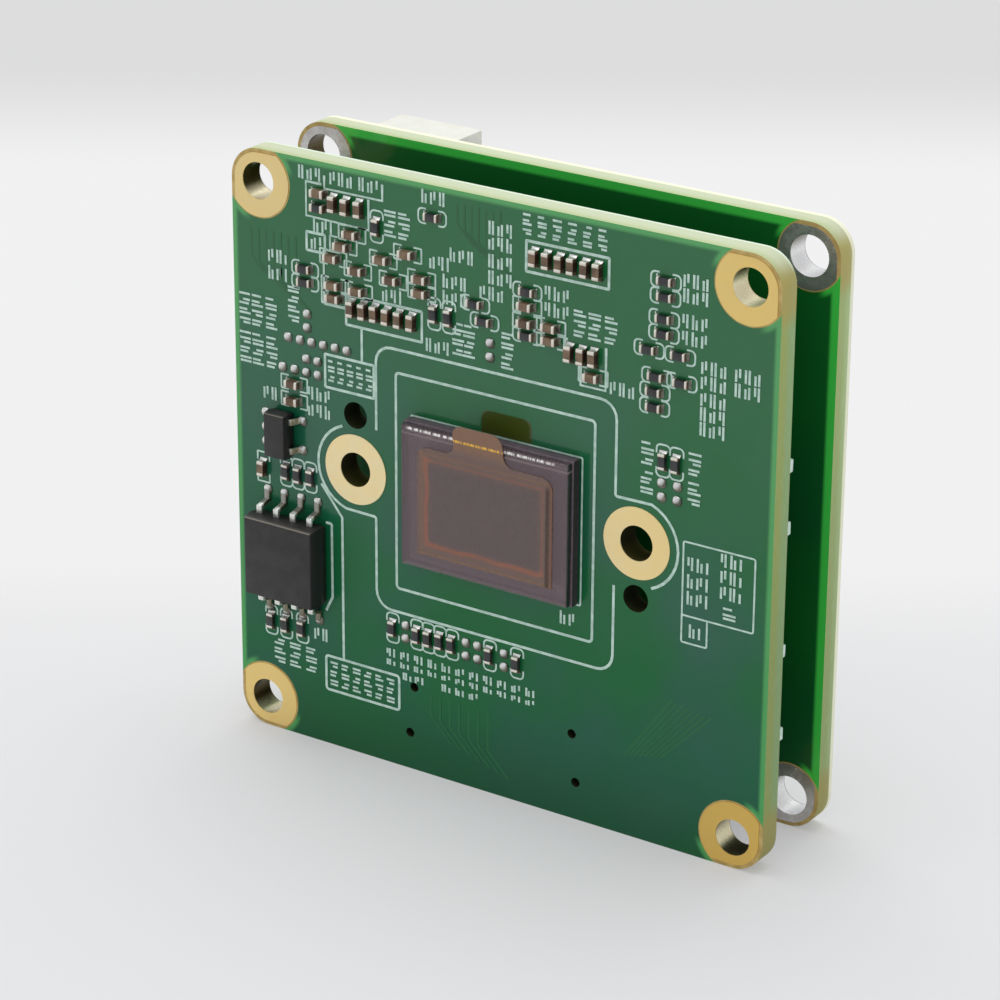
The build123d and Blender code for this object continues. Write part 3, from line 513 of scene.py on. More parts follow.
legend_ink, point, _ = new_finish("legend_ink", IOR=1.45)
feed(legend_ink, Roughness=point.noise(4).between(0, 1, 0.5, 0.7),
     Base_Color=point.noise(2.2, 4).between(0.3, 0.68).over((180, 212, 196), (212, 238, 224)))
printed("legend_frames", legend_frames, FRAME_LINE, SENSOR_FRONT - INK, legend_ink)
printed("legend_strokes", legend_fine, STROKE_LINE, SENSOR_FRONT - INK, legend_ink)
printed("legend_brackets", legend_brackets, BRACKET_LINE, SENSOR_FRONT - INK, legend_ink)

# A fan of tracks at the lower right, and three bundles that turn off at 45 degrees
tracks = []
for i in range(8):
    t = i / 7
    tracks.append((False, [(9.41 + 2.53 * t, -13.8 + 0.56 * t, 0),
                           (12.63 + 2.66 * t, -9.32 - 0.46 * t, 0)]))
for i in range(7):
    for x, top, knee, pitch, drop, run in (
            (-17.6, 14.0, 12.2, 0.55, 0.3, 1.0), (-2.6, 18.2, 17.0, 0.5, 0.3, 1.2),
            (-4.5, -13.6, -15.0, 0.7, 0.2, 1.5)):
        x, knee = x + i * pitch, knee - i * drop
        tracks.append((False, [(x, top, 0), (x, knee, 0.3), (x + run, knee - run, 0)]))
track_green, point, _ = new_finish("track_green", IOR=1.5, Specular_IOR_Level=0.2, Coat_Roughness=0.1)
z = point.axes()[2]
feed(track_green, Base_Color=z.between(36, 16).over((14, 96, 48), (36, 110, 64)),
     Roughness=point.noise(2).between(0, 1, 0.36, 0.5),
     Coat_Weight=(z / (2 * HALF_BOARD)).between(0, 0.85, 0.15, 0.95))
printed("board_tracks", tracks, TRACK_LINE, SENSOR_FRONT - TRACK_RISE, track_green)


# ------------------------
# Gold pads of the sensor board. Flat gold over nickel on thick copper, left open in the
# mask: four at the corners for the stacking posts, two beside the sensor for the screws
# of a lens holder. Handling leaves fine scratches and a little tarnish.

gold_plate, point, _ = new_finish("gold_plate", Metallic=0.8, Specular_Tint=(1.0, 0.95, 0.85, 1.0))
scratch = point.node("Mapping", inputs={
    "Vector": point, "Rotation": (0, 0.6, 0), "Scale": (0.5, 1, 14)}).noise(1)
worn = point.noise(0.9, 4, 0.6)
x, y, z = point.axes()
colour = worn.between(0.35, 0.7).over((254, 232, 176), (255, 238, 192))
# Warmer and darker to the bottom, the right and the outer pads; painted shade on the lower right pad
colour = (z.between(14, 2) * 0.5).over(colour, (250, 214, 126))
colour = (x.between(2, 19) * 0.5).over(colour, (250, 208, 96))
colour = (abs(x).between(12, 15) * 0.45).over(colour, (236, 202, 112))
colour = (x.between(12, 15) * z.between(12, 4) * 0.5).over(colour, (214, 172, 76))
feed(gold_plate, Base_Color=colour, Roughness=worn.between(0.2, 0.8, 0.36, 0.52),
     Normal=(scratch * 0.5 + worn * 0.5).relief(0.12, 0.02))
dressed("sensor_corner_pads", gold_plate)
dressed("sensor_lens_pads", gold_plate)


# ------------------------
# Image sensor: a dark ceramic box open at the front, soldered on lands. The die lies in
# its pocket, gold wires arch from its edge to the shelf, and a cover glass closes it.
# The glints of the wires' tops seen through the glass are painted on the glass and on the film.

SMOOTH_UP_TO = math.radians(32)
BEVEL_FROM = math.radians(25)


def smoothed(name, work):
    """The mesh of this bmesh, finished: smooth but for its sharp edges."""
    bmesh.ops.recalc_face_normals(work, faces=work.faces)
    mesh = bpy.data.meshes.new(name)
    work.to_mesh(mesh)
    work.free()
    mesh.shade_smooth()
    mesh.set_sharp_from_angle(angle=SMOOTH_UP_TO)
    return mesh


def softened(name, node, edge, material, slot, segments=2):
    """A merged copy of a CAD node with its edges rounded, in its place."""
    work = bmesh.new()
    work.from_mesh(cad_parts[node].data)
    bmesh.ops.remove_doubles(work, verts=work.verts, dist=1e-6)
    bmesh.ops.dissolve_limit(work, angle_limit=math.radians(1), verts=work.verts, edges=work.edges)
    if edge:
        sharp = [e for e in work.edges if len(e.link_faces) == 2 and e.calc_face_angle(0) > BEVEL_FROM]
        bmesh.ops.bevel(work, geom=sharp, offset=edge * MM, segments=segments, profile=0.5,
                        affect="EDGES", clamp_overlap=True)
    mesh = smoothed(name, work)
    mesh.materials.append(material)
    settled(shown(name, mesh), slot, node)


sensor_ceramic, point, normal = new_finish("sensor_ceramic", IOR=1.55)
grain = point.noise(3, 4, 0.6)
layers = (point.axes()[1] * 21).sum("SINE").between(-0.2, 0.9)
colour = grain.between(0.3, 0.7).over((98, 86, 94), (118, 104, 112))
colour = (layers * 0.3).over(colour, (76, 66, 74))
# Faces to the right are painted near black as shade
feed(sensor_ceramic, Base_Color=normal.axes()[0].between(0.4, 0.8).over(colour, (40, 35, 38)),
     Roughness=grain.between(0, 1, 0.45, 0.7), Normal=grain.relief(0.3, 0.02))
softened("sensor_body", "sensor_package", 0.05, sensor_ceramic, "dark_ceramic")


def glancing(normal, start=0.35):
    """1 where a surface looks up and to the front, where solder mirrors the brightest light."""
    x, y, z = normal.axes()
    return (z * 0.62 - y * 0.72 - x * 0.3).between(start, 0.95)


bright_solder, point, normal = new_finish("bright_solder", Metallic=0.7)
pool = point.noise(1.6, 3, 0.55)
colour = pool.between(0.3, 0.7).over((78, 80, 70), (124, 122, 110))
# Painted highlight where the solder looks up and to the front; elsewhere it is painted dark grey
feed(bright_solder, Base_Color=glancing(normal, 0.5).over(colour, (255, 255, 252)),
     Roughness=pool.between(0.25, 0.75, 0.16, 0.36), Normal=point.noise(5, 3).relief(0.2, 0.02))
softened("sensor_solder", "sensor_lands", 0.03, bright_solder, "solder")

die_face, point, _ = new_finish("die_face", Coat_Weight=0.6, Coat_Roughness=0.08)
x, y, z = point.axes()
inside = abs(x - 0.1).between(4.3, 4.15) * abs(z - BOARD_MIDDLE + 0.2).between(3.05, 2.9)
colour = point.noise(0.18).between(0.3, 0.7).over((104, 92, 92), (98, 90, 98))
feed(die_face, Base_Color=inside.over((78, 70, 78), colour),
     Roughness=inside.between(0, 1, 0.35, 0.2), Metallic=inside * 0.3)
dressed("sensor_die", die_face)

bright_wire, point, _ = new_finish("bright_wire", Metallic=1.0)
feed(bright_wire, Roughness=point.noise(8).between(0, 1, 0.12, 0.3),
     Base_Color=point.noise(4).between(0.3, 0.7).over((246, 222, 168), (255, 244, 220)))
dressed("bond_wires", bright_wire)


def wire_glints(point):
    """Painted glints: a broken thin row of bright beads along the top row of bond wires."""
    x, y, z = point.axes()
    beads = point.stretched(4.4, 0, 0).noise(1, 4, 0.7)
    line = abs(z - BOARD_MIDDLE - 4.15 - (beads - 0.5) * 0.2).between(0.11, 0.05)
    return line * beads.between(0.43, 0.53) * x.between(5.2, 4.9) * x.between(-5.5, -5.2)


sensor_glass, point, normal = new_finish("sensor_glass", IOR=1.5, Coat_Weight=0.5, Coat_Roughness=0.03)
# Painted glints of the wires, white on the glass
glint = wire_glints(point)
seal = abs(point.axes()[2] - BOARD_MIDDLE - 3.82).between(0.1, 0.03) * 0.4
# Faces to the right are painted dark as shade
side = normal.axes()[0].between(0.4, 0.8)
colour = seal.over(side.over((132, 112, 118), (30, 26, 28)), (176, 158, 156))
feed(sensor_glass, Base_Color=glint.over(colour, (255, 252, 246)),
     Alpha=(0.5 + glint * 0.5 + seal * 0.3 + side * 0.5).sum("MINIMUM", 1.0),
     Roughness=point.noise(1.1, 3).between(0.3, 0.7, 0.04, 0.14))
softened("sensor_window", "cover_glass", 0.03, sensor_glass, "cover_glass")


# ------------------------
# Protective film: thin amber film stuck to the cover glass, with a tab to pull it off.
# Its glue shows as streaks inside the outline. A painted shadow runs down its right edge, thin
# painted highlights follow its other edges, and the wires' painted glints show through it.

film_amber, point, _ = new_finish("film_amber", IOR=1.46, Coat_Weight=0.2, Coat_Roughness=0.08)
x, y, z = point.axes()
u, v = x - 0.175, z - BOARD_MIDDLE + 0.275
wave = (point.noise(0.55, 3) - 0.5) * 0.5
to_frame = (abs(u) - 4.12).sum("MAXIMUM", abs(v) - 2.72)
heavy = (u.between(-3.6, -4) + v.between(-2.2, -2.6)).sum("MINIMUM", 1)
streak = (abs(to_frame + wave * heavy) / (0.1 + heavy * 0.14)).between(1, 0.2)
streak = streak * (0.65 + heavy * 0.35) * point.noise(0.8, 3).between(0.2, 0.42)
# Thin painted highlights near the film's bottom, left and top edges
thin = abs(v + 3.32).between(0.1, 0.02) + abs(u + 4.45).between(0.1, 0.02)
thin = (thin + abs(v - 3.1).between(0.08, 0.02)).sum("MINIMUM", 1)
# Painted shadow down the film's right edge
edge_shadow = abs(u - 4.48).between(0.2, 0.06) * v.between(3.2, 2.6)
tab = z.between(22.2, 22.9)
glint = wire_glints(point)
colour = to_frame.between(0.3, -0.6).over((126, 100, 90), (108, 92, 90))
# Laid over the film's tones: glue streaks, painted highlights, painted shadow in two strips down the
# right edge, the tab, painted glints
for mask, tint in ((streak * 0.66, (174, 104, 74)), (thin * 0.5, (154, 112, 72)),
                   (u.between(4.5, 4.62) * 0.6, (130, 84, 56)), (edge_shadow * 0.9, (62, 38, 22)),
                   (tab * 0.8, (150, 110, 80)), (glint, (255, 196, 60))):
    colour = mask.over(colour, tint)
feed(film_amber, Base_Color=colour, Alpha=0.86 + (edge_shadow + glint) * 0.14,
     Roughness=point.noise(1.4, 3).between(0.2, 0.8, 0.2, 0.34))
softened("peel_film", "protective_film", 0, film_amber, "amber_film")


# ------------------------
# Memory chip and regulator: black moulded epoxy about a tinned lead frame. The mould
# leaves a fine matt grain. A highlight is painted along the bevel at the top front, and faces
# to the right are painted dark as shade.

black_moulding, point, normal = new_finish("black_moulding", IOR=1.5)
grain = point.noise(14, 3, 0.6)
x, y, z = normal.axes()
colour = point.noise(1, 3).between(0.3, 0.7).over((40, 38, 38), (52, 49, 48))
# Painted highlight along the bevel at the top front, painted shade on faces to the right
colour = (z.between(0.25, 0.55) * y.between(-0.2, -0.5) * 0.8).over(colour, (150, 144, 130))
feed(black_moulding, Base_Color=x.between(0.4, 0.8).over(colour, (18, 18, 18)),
     Roughness=grain.between(0.2, 0.8, 0.42, 0.62), Normal=grain.relief(0.35, 0.02))
softened("memory_case", "memory_body", 0.08, black_moulding, "black_moulding")
softened("regulator_case", "regulator_body", 0.04, black_moulding, "black_moulding")

# Painted light on the leads: a highlight where they look up and to the front; on the memory
# chip's leads painted shade on their slopes and a painted highlight where they bend
tinned_lead, point, normal = new_finish("tinned_lead", Metallic=0.75)
dull = point.noise(3, 3)
x, y, z = point.axes()
on_memory = z.between(18, 17) * y.between(1, -1)
colour = dull.between(0.3, 0.7).over((140, 136, 116), (178, 172, 148))
colour = glancing(normal, 0.5).over(colour, (255, 255, 250))
colour = (on_memory * y.between(-6.15, -5.95) * 0.65).over(colour, (92, 86, 66))
colour = (on_memory * y.between(-6.05, -6.2) * 0.7).over(colour, (250, 252, 246))
feed(tinned_lead, Base_Color=colour, Roughness=dull.between(0.2, 0.8, 0.24, 0.42),
     Normal=point.noise(9).relief(0.2, 0.01))
softened("memory_legs", "memory_leads", 0.05, tinned_lead, "tinned_lead")
softened("regulator_legs", "regulator_leads", 0.035, tinned_lead, "tinned_lead")


# ------------------------
# Chip capacitors, resistors and the bead: ceramic bricks with tinned ends, 1.0 by 0.5 mm
# and 1.6 by 0.8 mm behind the right edge, held by a solder fillet at either end. Their
# small drift in place and turn comes from the reflow.

def template(name, build, *sizes):
    """A mesh that geometry nodes stand at each place. It isn't shown itself."""
    work = bmesh.new()
    build(work, *sizes)
    bmesh.ops.remove_doubles(work, verts=work.verts, dist=1e-7)
    return bpy.data.objects.new(name, smoothed(name, work))


def brick(work, low, high, edge, segments=2):
    """A block between two corners in mm, edges rounded."""
    made = bmesh.ops.create_cube(work, size=1.0)["verts"]
    low, high = Vector(low), Vector(high)
    for vertex in made:
        vertex.co = (low + Vector([(vertex.co[i] + 0.5) * (high - low)[i] for i in range(3)])) * MM
    edges = list({e for v in made for e in v.link_edges})
    bmesh.ops.bevel(work, geom=edges, offset=edge * MM, segments=segments, profile=0.5, affect="EDGES")


def fillet(work, side, start, reach, rise, half_width):
    """A concave solder fillet that runs out from an end face at z = start to the pad."""
    rows = []
    for i in range(5):
        t = i / 4
        high = rise * (1 - t) ** 2 + 0.03
        wide = half_width * (1 + 0.12 * t)
        slope = [(wide, 0), (wide * 0.92, high * 0.75), (wide * 0.6, high)]
        slope = [(-w, h) for w, h in slope] + slope[::-1]
        out = side * (start + reach * t)
        rows.append([work.verts.new(Vector((w, -h, out)) * MM) for w, h in slope])
    for a, b in zip(rows, rows[1:]):
        for i in range(5):
            work.faces.new((a[i], a[i + 1], b[i + 1], b[i]))
    work.faces.new(rows[0])
    work.faces.new(rows[-1])


stand_tree, step, given = new_tree("parts at places", Part="Object", Drift="Float", Turn="Float",
                                   Seed="Int", Finish="Material")
part = step("ObjectInfo", {"transform_space": "ORIGINAL"}, Object=given["Part"])
stance = step("InputNamedAttribute", {"data_type": "FLOAT_VECTOR"}, Name="stance")
drift = step("FunctionNodeRandomValue", {"data_type": "FLOAT_VECTOR"}, _0=(-1, 0, -1), _1=(1, 0, 1),
             Seed=given["Seed"])
drift = step("ShaderNodeVectorMath", {"operation": "SCALE"}, _0=drift, Scale=given["Drift"])
moved = step("SetPosition", Geometry=given["Geometry"], Offset=drift)
turn_back = step("ShaderNodeMath", {"operation": "MULTIPLY"}, _0=given["Turn"], _1=-1.0)
turn = step("FunctionNodeRandomValue", {"data_type": "FLOAT"}, _2=turn_back, _3=given["Turn"],
            Seed=given["Seed"])
turned = step("ShaderNodeCombineXYZ", Y=turn.outputs[1])
facing = step("ShaderNodeVectorMath", {"operation": "ADD"}, _0=stance, _1=turned)
copies = step("InstanceOnPoints", Points=moved, Instance=part.outputs["Geometry"], Rotation=facing)
copies = step("RealizeInstances", Geometry=copies)
copies = step("SetMaterial", Geometry=copies, Material=given["Finish"])
step("NodeGroupOutput", Geometry=copies)


def places_on(*nodes):
    """Where the solids of chip nodes stand: foot point and stance, from the board that they touch."""
    found = []
    for middle, size in [solid for node in nodes for solid in solids_of(node)]:
        rear = middle.y > SENSOR_FRONT
        foot = middle.y - size.y / 2 if rear else middle.y + size.y / 2
        found.append(((middle.x * MM, foot * MM, middle.z * MM),
                      (0.0, math.pi / 2 if size.x > size.z else 0.0, math.pi if rear else 0.0)))
    return found


def stood(name, part, places, material, slot, replaced=(), drift=0.03, turn=2.0, seed=4):
    """Copies of one small part at each place, as one mesh. Drift is in mm and turn in degrees."""
    piece = grown(name, [p for p, _ in places], [], stand_tree,
                  {"stance": ("FLOAT_VECTOR", [c for _, s in places for c in s])},
                  Part=part, Drift=drift * MM, Turn=math.radians(turn), Seed=seed, Finish=material)
    settled(piece, slot, *replaced)


def two_ends(work, height, inner, outer=0.5, half_width=0.25):
    for side in (-1, 1):
        low, high = sorted((side * inner, side * outer))
        brick(work, (-half_width, -height, low), (half_width, 0, high), 0.07, 3)


def two_fillets(work, rise, start=0.46, half_width=0.26):
    for side in (-1, 1):
        fillet(work, side, start, 0.17, rise, half_width)


def mottled(name, tones, gloss, clouds, grain=None, bumps=None, relief=None, **constants):
    """A finish in two tones. Clouds, grain of the gloss and bumps are noise of these settings."""
    material, point, _ = new_finish(name, **constants)
    clouds = point.noise(*clouds)
    grain = point.noise(*grain) if grain else clouds
    varied = {"Base_Color": clouds.between(0.3, 0.7).over(*tones),
              "Roughness": grain.between(0.2, 0.8, *gloss)}
    if relief:
        varied["Normal"] = (point.noise(*bumps) if bumps else grain).relief(*relief)
    feed(material, **varied)
    return material


brown_ceramic, point, normal = new_finish("brown_ceramic", IOR=1.5)
colour = point.noise(0.9).between(0.3, 0.7).over((98, 76, 58), (140, 116, 90))
# Faces to the right are painted dark brown as shade
feed(brown_ceramic, Base_Color=normal.axes()[0].between(0.3, 0.8).over(colour, (52, 26, 14)),
     Roughness=point.noise(6).between(0.2, 0.8, 0.42, 0.62), Normal=point.noise(12).relief(0.25, 0.02))
black_ceramic = mottled("black_ceramic", ((30, 30, 32), (48, 47, 49)), (0.3, 0.5), (2.0,), (6.0,),
                        (12.0,), (0.2, 0.02), IOR=1.5, Coat_Weight=0.3)
tinned_end, point, normal = new_finish("tinned_end", Metallic=0.55)
tone = point.noise(2.4, 3)
# Painted highlight where the ends look up and to the front, painted shade on faces to the right
colour = glancing(normal).over(
    tone.between(0.3, 0.7).over((176, 162, 148), (214, 202, 186)), (255, 250, 238))
feed(tinned_end, Base_Color=normal.axes()[0].between(0.3, 0.8).over(colour, (112, 90, 74)),
     Roughness=tone.between(0.2, 0.8, 0.3, 0.5), Normal=point.noise(10, 3).relief(0.3, 0.02))
pale_end = mottled("pale_end", ((196, 222, 206), (224, 240, 230)), (0.3, 0.45), (2.4, 3.0), (4.0,),
                   Metallic=0.2)


def chip_shapes(name, core, ends, joints):
    """Body, metal ends and solder fillets of one size of chip part, along Z."""
    half, height, reach, edge = core
    return (template(name + "_core", brick, (-half, -height, -reach), (half, 0, reach), edge),
            template(name + "_caps", two_ends, *ends), template(name + "_fillets", two_fillets, *joints))


tall = chip_shapes("tall", (0.24, 0.48, 0.3, 0.03), (0.5, 0.25), (0.3,))
low = chip_shapes("low", (0.235, 0.33, 0.32, 0.02), (0.35, 0.29), (0.22,))
large = chip_shapes("large", (0.385, 0.78, 0.5, 0.04), (0.8, 0.45, 0.8, 0.4), (0.45, 0.76, 0.4))
for kind, body, nodes, (core, caps, fillets), ceramic, end_metal, slot in (
        ("capacitor", "capacitor_bodies", ("capacitors", "rear_capacitors"), tall, brown_ceramic,
         tinned_end, "brown_ceramic"),
        ("resistor", "resistor_bodies", ("resistors", "rear_resistors"), low, black_ceramic,
         tinned_end, "black_ceramic"),
        ("edge_part", "edge_part_bodies", ("edge_parts",), large, brown_ceramic,
         pale_end, "brown_ceramic"),
        ("bead", "bead_core", ("ferrite_bead",), tall, black_ceramic, tinned_end, "black_ceramic")):
    places = places_on(*nodes)
    stood(body, core, places, ceramic, slot, nodes)
    stood(kind + "_ends", caps, places, end_metal, slot)
    stood(kind + "_solder", fillets, places, bright_solder, "solder")


# ------------------------
# Tinned pads with nothing fitted: the printed solder melted to a low bright dome on each.
# The same solder runs out beyond the feet of the leads.

DOME_SIDES = 16
DOME_RINGS = 5


def bands(work, rows):
    """Joins closed rows of vertices by faces."""
    for a, b in zip(rows, rows[1:]):
        for i in range(len(a)):
            j = (i + 1) % len(a)
            work.faces.new((a[i], a[j], b[j], b[i]))


def dome(work):
    """A rounded square cushion of solder, 0.62 mm wide."""
    rings = []
    for level in range(DOME_RINGS):
        lift = level / DOME_RINGS
        reach = 0.31 * math.cos(lift * math.pi / 2) ** 0.8
        height = 0.02 + 0.15 * math.sin(lift * math.pi / 2)
        ring = []
        for i in range(DOME_SIDES):
            a = 2 * math.pi * i / DOME_SIDES
            c, s = math.cos(a), math.sin(a)
            square = (abs(c) ** 3 + abs(s) ** 3) ** (-1 / 3) * (1 - lift) + lift
            ring.append(work.verts.new(Vector((reach * square * c, -height, reach * square * s)) * MM))
        rings.append(ring)
    rings.insert(0, [work.verts.new((v.co.x, 0, v.co.z)) for v in rings[0]])
    bands(work, rings)
    work.faces.new(rings[0])
    top = work.verts.new((0, -0.17 * MM, 0))
    for i, vertex in enumerate(rings[-1]):
        work.faces.new((vertex, rings[-1][(i + 1) % DOME_SIDES], top))


def toes(node, body):
    """The outer tip of each lead's foot, where the solder runs out on the pad."""
    middle = sum(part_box(body), Vector()) / 2 / MM
    found = []
    for lead, size in solids_of(node):
        along = 0 if size.x > size.z else 2
        tip = lead.copy()
        tip[along] += math.copysign(size[along] / 2, lead[along] - middle[along])
        found.append(((tip.x * MM, SENSOR_FRONT * MM, tip.z * MM), (0.0, 0.0, 0.0)))
    return found


solder_dome = template("solder_dome", dome)
feet = toes("memory_leads", "memory_body") + toes("regulator_leads", "regulator_body")
stood("lead_solder", solder_dome, feet, bright_solder, "solder", drift=0.0, turn=4.0)
stood("bare_pads", solder_dome, [(p, (0.0, 0.0, 0.0)) for p, _ in places_on("solder_pads")],
      bright_solder, "solder", ("solder_pads",), drift=0.01, turn=6.0)


# ------------------------
# Stacking connector: a tongue with contacts on the sensor board plugs into an open frame
# with leaf springs on the processor board. Glass-filled black nylon, gold-plated strips.

black_nylon = mottled("black_nylon", ((28, 28, 29), (44, 43, 44)), (0.42, 0.62), (7.0, 4.0, 0.6),
                      relief=(0.3, 0.02), IOR=1.52)
gold_strip = mottled("gold_strip", ((214, 178, 110), (238, 208, 148)), (0.22, 0.4), (3.0,), (5.0,),
                     Metallic=0.95)
softened("plug_housing", "board_plug", 0.05, black_nylon, "black_housing")
softened("receptacle_housing", "board_receptacle", 0.05, black_nylon, "black_housing")
softened("plug_strips", "plug_contacts", 0.02, gold_strip, "gold_contact", 1)
softened("receptacle_springs", "receptacle_contacts", 0.02, gold_strip, "gold_contact", 1)


# ------------------------
# Processor board: the same laminate and mask, shaded by the board in front. Its corner
# pads are tinned and have gone dull. Its rear has printed frames and filled vias.

COPPER = 0.035
PAD_SIDES = 40
VIA_SIDES = 12
VIA_COUNT = 90
VIA_FIELD = 17.5
VIA_TO_PART, VIA_TO_VIA, VIA_TO_HOLE = 0.75, 0.9, 2.4
PROCESSOR_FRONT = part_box("processor_board")[0].y / MM
PROCESSOR_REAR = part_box("processor_board")[1].y / MM

# Its edge takes a painted highlight along the whole rear side
dressed("processor_board", laminate(
    "rear_laminate", PROCESSOR_FRONT, mask_tints=((14, 98, 36), (10, 86, 38)),
    cut_tints=((177, 194, 130), (186, 210, 152)), rim=(70, 212, 80), rim_width=0.5,
    pad_reach=2.05, hole=1.25, plated=(255, 255, 255), shine=(0.35, 0.45),
    far_line=1.0, far_tint=(255, 255, 226)))
dull_tin = mottled("dull_tin", ((178, 174, 168), (214, 212, 210)), (0.18, 0.32), (1.2, 4.0, 0.6),
                   relief=(0.1, 0.02), Metallic=0.7)
dressed("processor_corner_pads", dull_tin)


def circle(work, x, y, z, radius, sides):
    """A row of vertices round a point in mm, in the plane of the boards."""
    turns = [2 * math.pi * i / sides for i in range(sides)]
    return [work.verts.new(Vector((x + radius * math.cos(a), y, z + radius * math.sin(a))) * MM)
            for a in turns]


def rings(name, places, level, inner, outer, material, slot):
    """Copper pads round holes on a board's rear face."""
    work = bmesh.new()
    for x, z in places:
        bands(work, [circle(work, x, level + lift, BOARD_MIDDLE + z, radius, PAD_SIDES)
                     for radius, lift in ((inner, COPPER), (outer, COPPER), (outer, 0.0))])
    work.normal_update()
    bmesh.ops.reverse_faces(work, faces=[f for f in work.faces if f.normal.y < -0.5])
    mesh = bpy.data.meshes.new(name)
    work.to_mesh(mesh)
    work.free()
    mesh.materials.append(material)
    settled(shown(name, mesh), slot)


corners = [(x, z) for x in (-CORNER_HOLE, CORNER_HOLE) for z in (-CORNER_HOLE, CORNER_HOLE)]
rings("sensor_rear_pads", corners, SENSOR_REAR, 1.15, 1.9, gold_plate, "gold_pad")
rings("lens_rear_pads", [(-LENS_HOLE, 0), (LENS_HOLE, 0)], SENSOR_REAR, 1.12, 1.9, gold_plate,
      "gold_pad")
rings("processor_rear_pads", corners, PROCESSOR_REAR, 1.25, 1.55, dull_tin, "tinned_pad")

rear_nodes = ("processor_chip", "flash_chip", "crystal_base", "converter_chips", "inductor_bodies",
              "power_socket", "control_socket", "bulk_capacitor_bodies", "rear_capacitors",
              "rear_resistors", "socket_tabs")
occupied = [solid for node in rear_nodes for solid in solids_of(node)]
rear_frames, rear_brackets = [], []
for middle, size in occupied:
    x, z, wide, high = middle.x, middle.z - BOARD_MIDDLE, size.x / 2 + 0.35, size.z / 2 + 0.35
    if size.x * size.z > 4:
        rear_frames.append(box_run(x - wide, x + wide, z - high, z + high, 0.1))
    elif size.x * size.z < 0.8:
        rear_brackets += brackets(middle, size, False)
printed("rear_legend_frames", rear_frames, 0.14, PROCESSOR_REAR + INK, legend_ink, 1)
printed("rear_legend_brackets", rear_brackets, BRACKET_LINE, PROCESSOR_REAR + INK, legend_ink, 1)


def via(work):
    """A plated hole filled with mask: a low ring."""
    rows = [circle(work, 0, -height, 0, radius, VIA_SIDES)
            for radius, height in ((0.26, 0.0), (0.24, 0.03), (0.13, 0.03), (0.1, 0.005))]
    bands(work, rows)
    work.faces.new(rows[-1])


chance = random.Random(11)
vias = []
while len(vias) < VIA_COUNT:
    x, z = chance.uniform(-VIA_FIELD, VIA_FIELD), chance.uniform(-VIA_FIELD, VIA_FIELD)
    clear = all(abs(x - m.x) > s.x / 2 + VIA_TO_PART
                or abs(z + BOARD_MIDDLE - m.z) > s.z / 2 + VIA_TO_PART for m, s in occupied)
    apart = all(math.hypot(x - p, z - q) > VIA_TO_VIA for p, q in vias)
    if clear and apart and math.hypot(abs(x) - CORNER_HOLE, abs(z) - CORNER_HOLE) > VIA_TO_HOLE:
        vias.append((x, z))
via_places = [((x * MM, PROCESSOR_REAR * MM, (z + BOARD_MIDDLE) * MM), (0, 0, math.pi))
              for x, z in vias]
stood("rear_vias", template("via_ring", via), via_places, track_green, "green_board", drift=0.0)


# ------------------------
# Wafer sockets at the rear: open cream nylon boxes with tinned square pins, held at their
# ends by solder tabs.

cream_nylon = mottled("cream_nylon", ((240, 237, 223), (246, 244, 232)), (0.38, 0.55), (0.8, 3.0),
                      (6.0,), (8.0, 3.0), (0.2, 0.02), IOR=1.52, Subsurface_Weight=0.1)
softened("power_shell", "power_socket", 0.06, cream_nylon, "cream_nylon")
softened("control_shell", "control_socket", 0.06, cream_nylon, "cream_nylon")
softened("power_pins", "power_socket_pins", 0.04, tinned_lead, "tinned_lead")
softened("control_pins", "control_socket_pins", 0.04, tinned_lead, "tinned_lead")
softened("shell_tabs", "socket_tabs", 0.04, bright_solder, "solder")


# ------------------------
# Chips on the rear of the processor board: a moulded image processor on solder balls, a
# flat flash memory, two power converters with their inductors and bulk capacitors, and
# a crystal under a welded steel lid.

softened("processor_case", "processor_chip", 0.05, black_moulding, "black_moulding")
softened("processor_solder", "processor_balls", 0.05, bright_solder, "solder")
softened("flash_case", "flash_chip", 0.04, black_moulding, "black_moulding")
softened("flash_solder", "flash_lands", 0, bright_solder, "solder")
softened("converter_cases", "converter_chips", 0.04, black_moulding, "black_moulding")
softened("converter_solder", "converter_lands", 0, bright_solder, "solder")

cream_ceramic = mottled("cream_ceramic", ((190, 178, 148), (212, 202, 176)), (0.45, 0.65), (2.0,),
                        (6.0,), IOR=1.5)
softened("crystal_case", "crystal_base", 0.04, cream_ceramic, "cream_ceramic")
steel_lid, point, _ = new_finish("steel_lid", Metallic=1.0)
brushed = point.stretched(1, 1, 18).noise(1)
feed(steel_lid, Base_Color=brushed.between(0.3, 0.7).over((168, 167, 164), (198, 197, 193)),
     Roughness=brushed.between(0.2, 0.8, 0.28, 0.45), Normal=brushed.relief(0.1, 0.02))
softened("crystal_cover", "crystal_lid", 0.06, steel_lid, "steel_lid", 3)

grey_ferrite = mottled("grey_ferrite", ((54, 54, 56), (82, 82, 84)), (0.55, 0.75), (5.0, 4.0, 0.65),
                       relief=(0.4, 0.04), IOR=1.5)
softened("inductor_cases", "inductor_bodies", 0.12, grey_ferrite, "grey_ferrite", 3)
softened("inductor_plates", "inductor_ends", 0.03, tinned_lead, "solder")
yellow_moulding = mottled("yellow_moulding", ((206, 146, 52), (224, 168, 74)), (0.42, 0.6),
                          (1.6, 3.0), (7.0,), (10.0,), (0.25, 0.02), IOR=1.5)
softened("bulk_cases", "bulk_capacitor_bodies", 0.08, yellow_moulding, "yellow_moulding")
softened("bulk_plates", "bulk_capacitor_ends", 0.03, tinned_lead, "solder")


# ------------------------
# Floor, light and camera. A pale sweep, one broad soft light overhead and an even world.
# The camera is the one solved from the sensor board's corners and holes in the photograph.

HALF_SWEEP = 2.5
SWEEP_BACK, SWEEP_END, SWEEP_BEND, SWEEP_TOP = -1.2, 0.9, 0.5, 2.0
SWEEP_ARCS = 12
UNDER = 0.00002

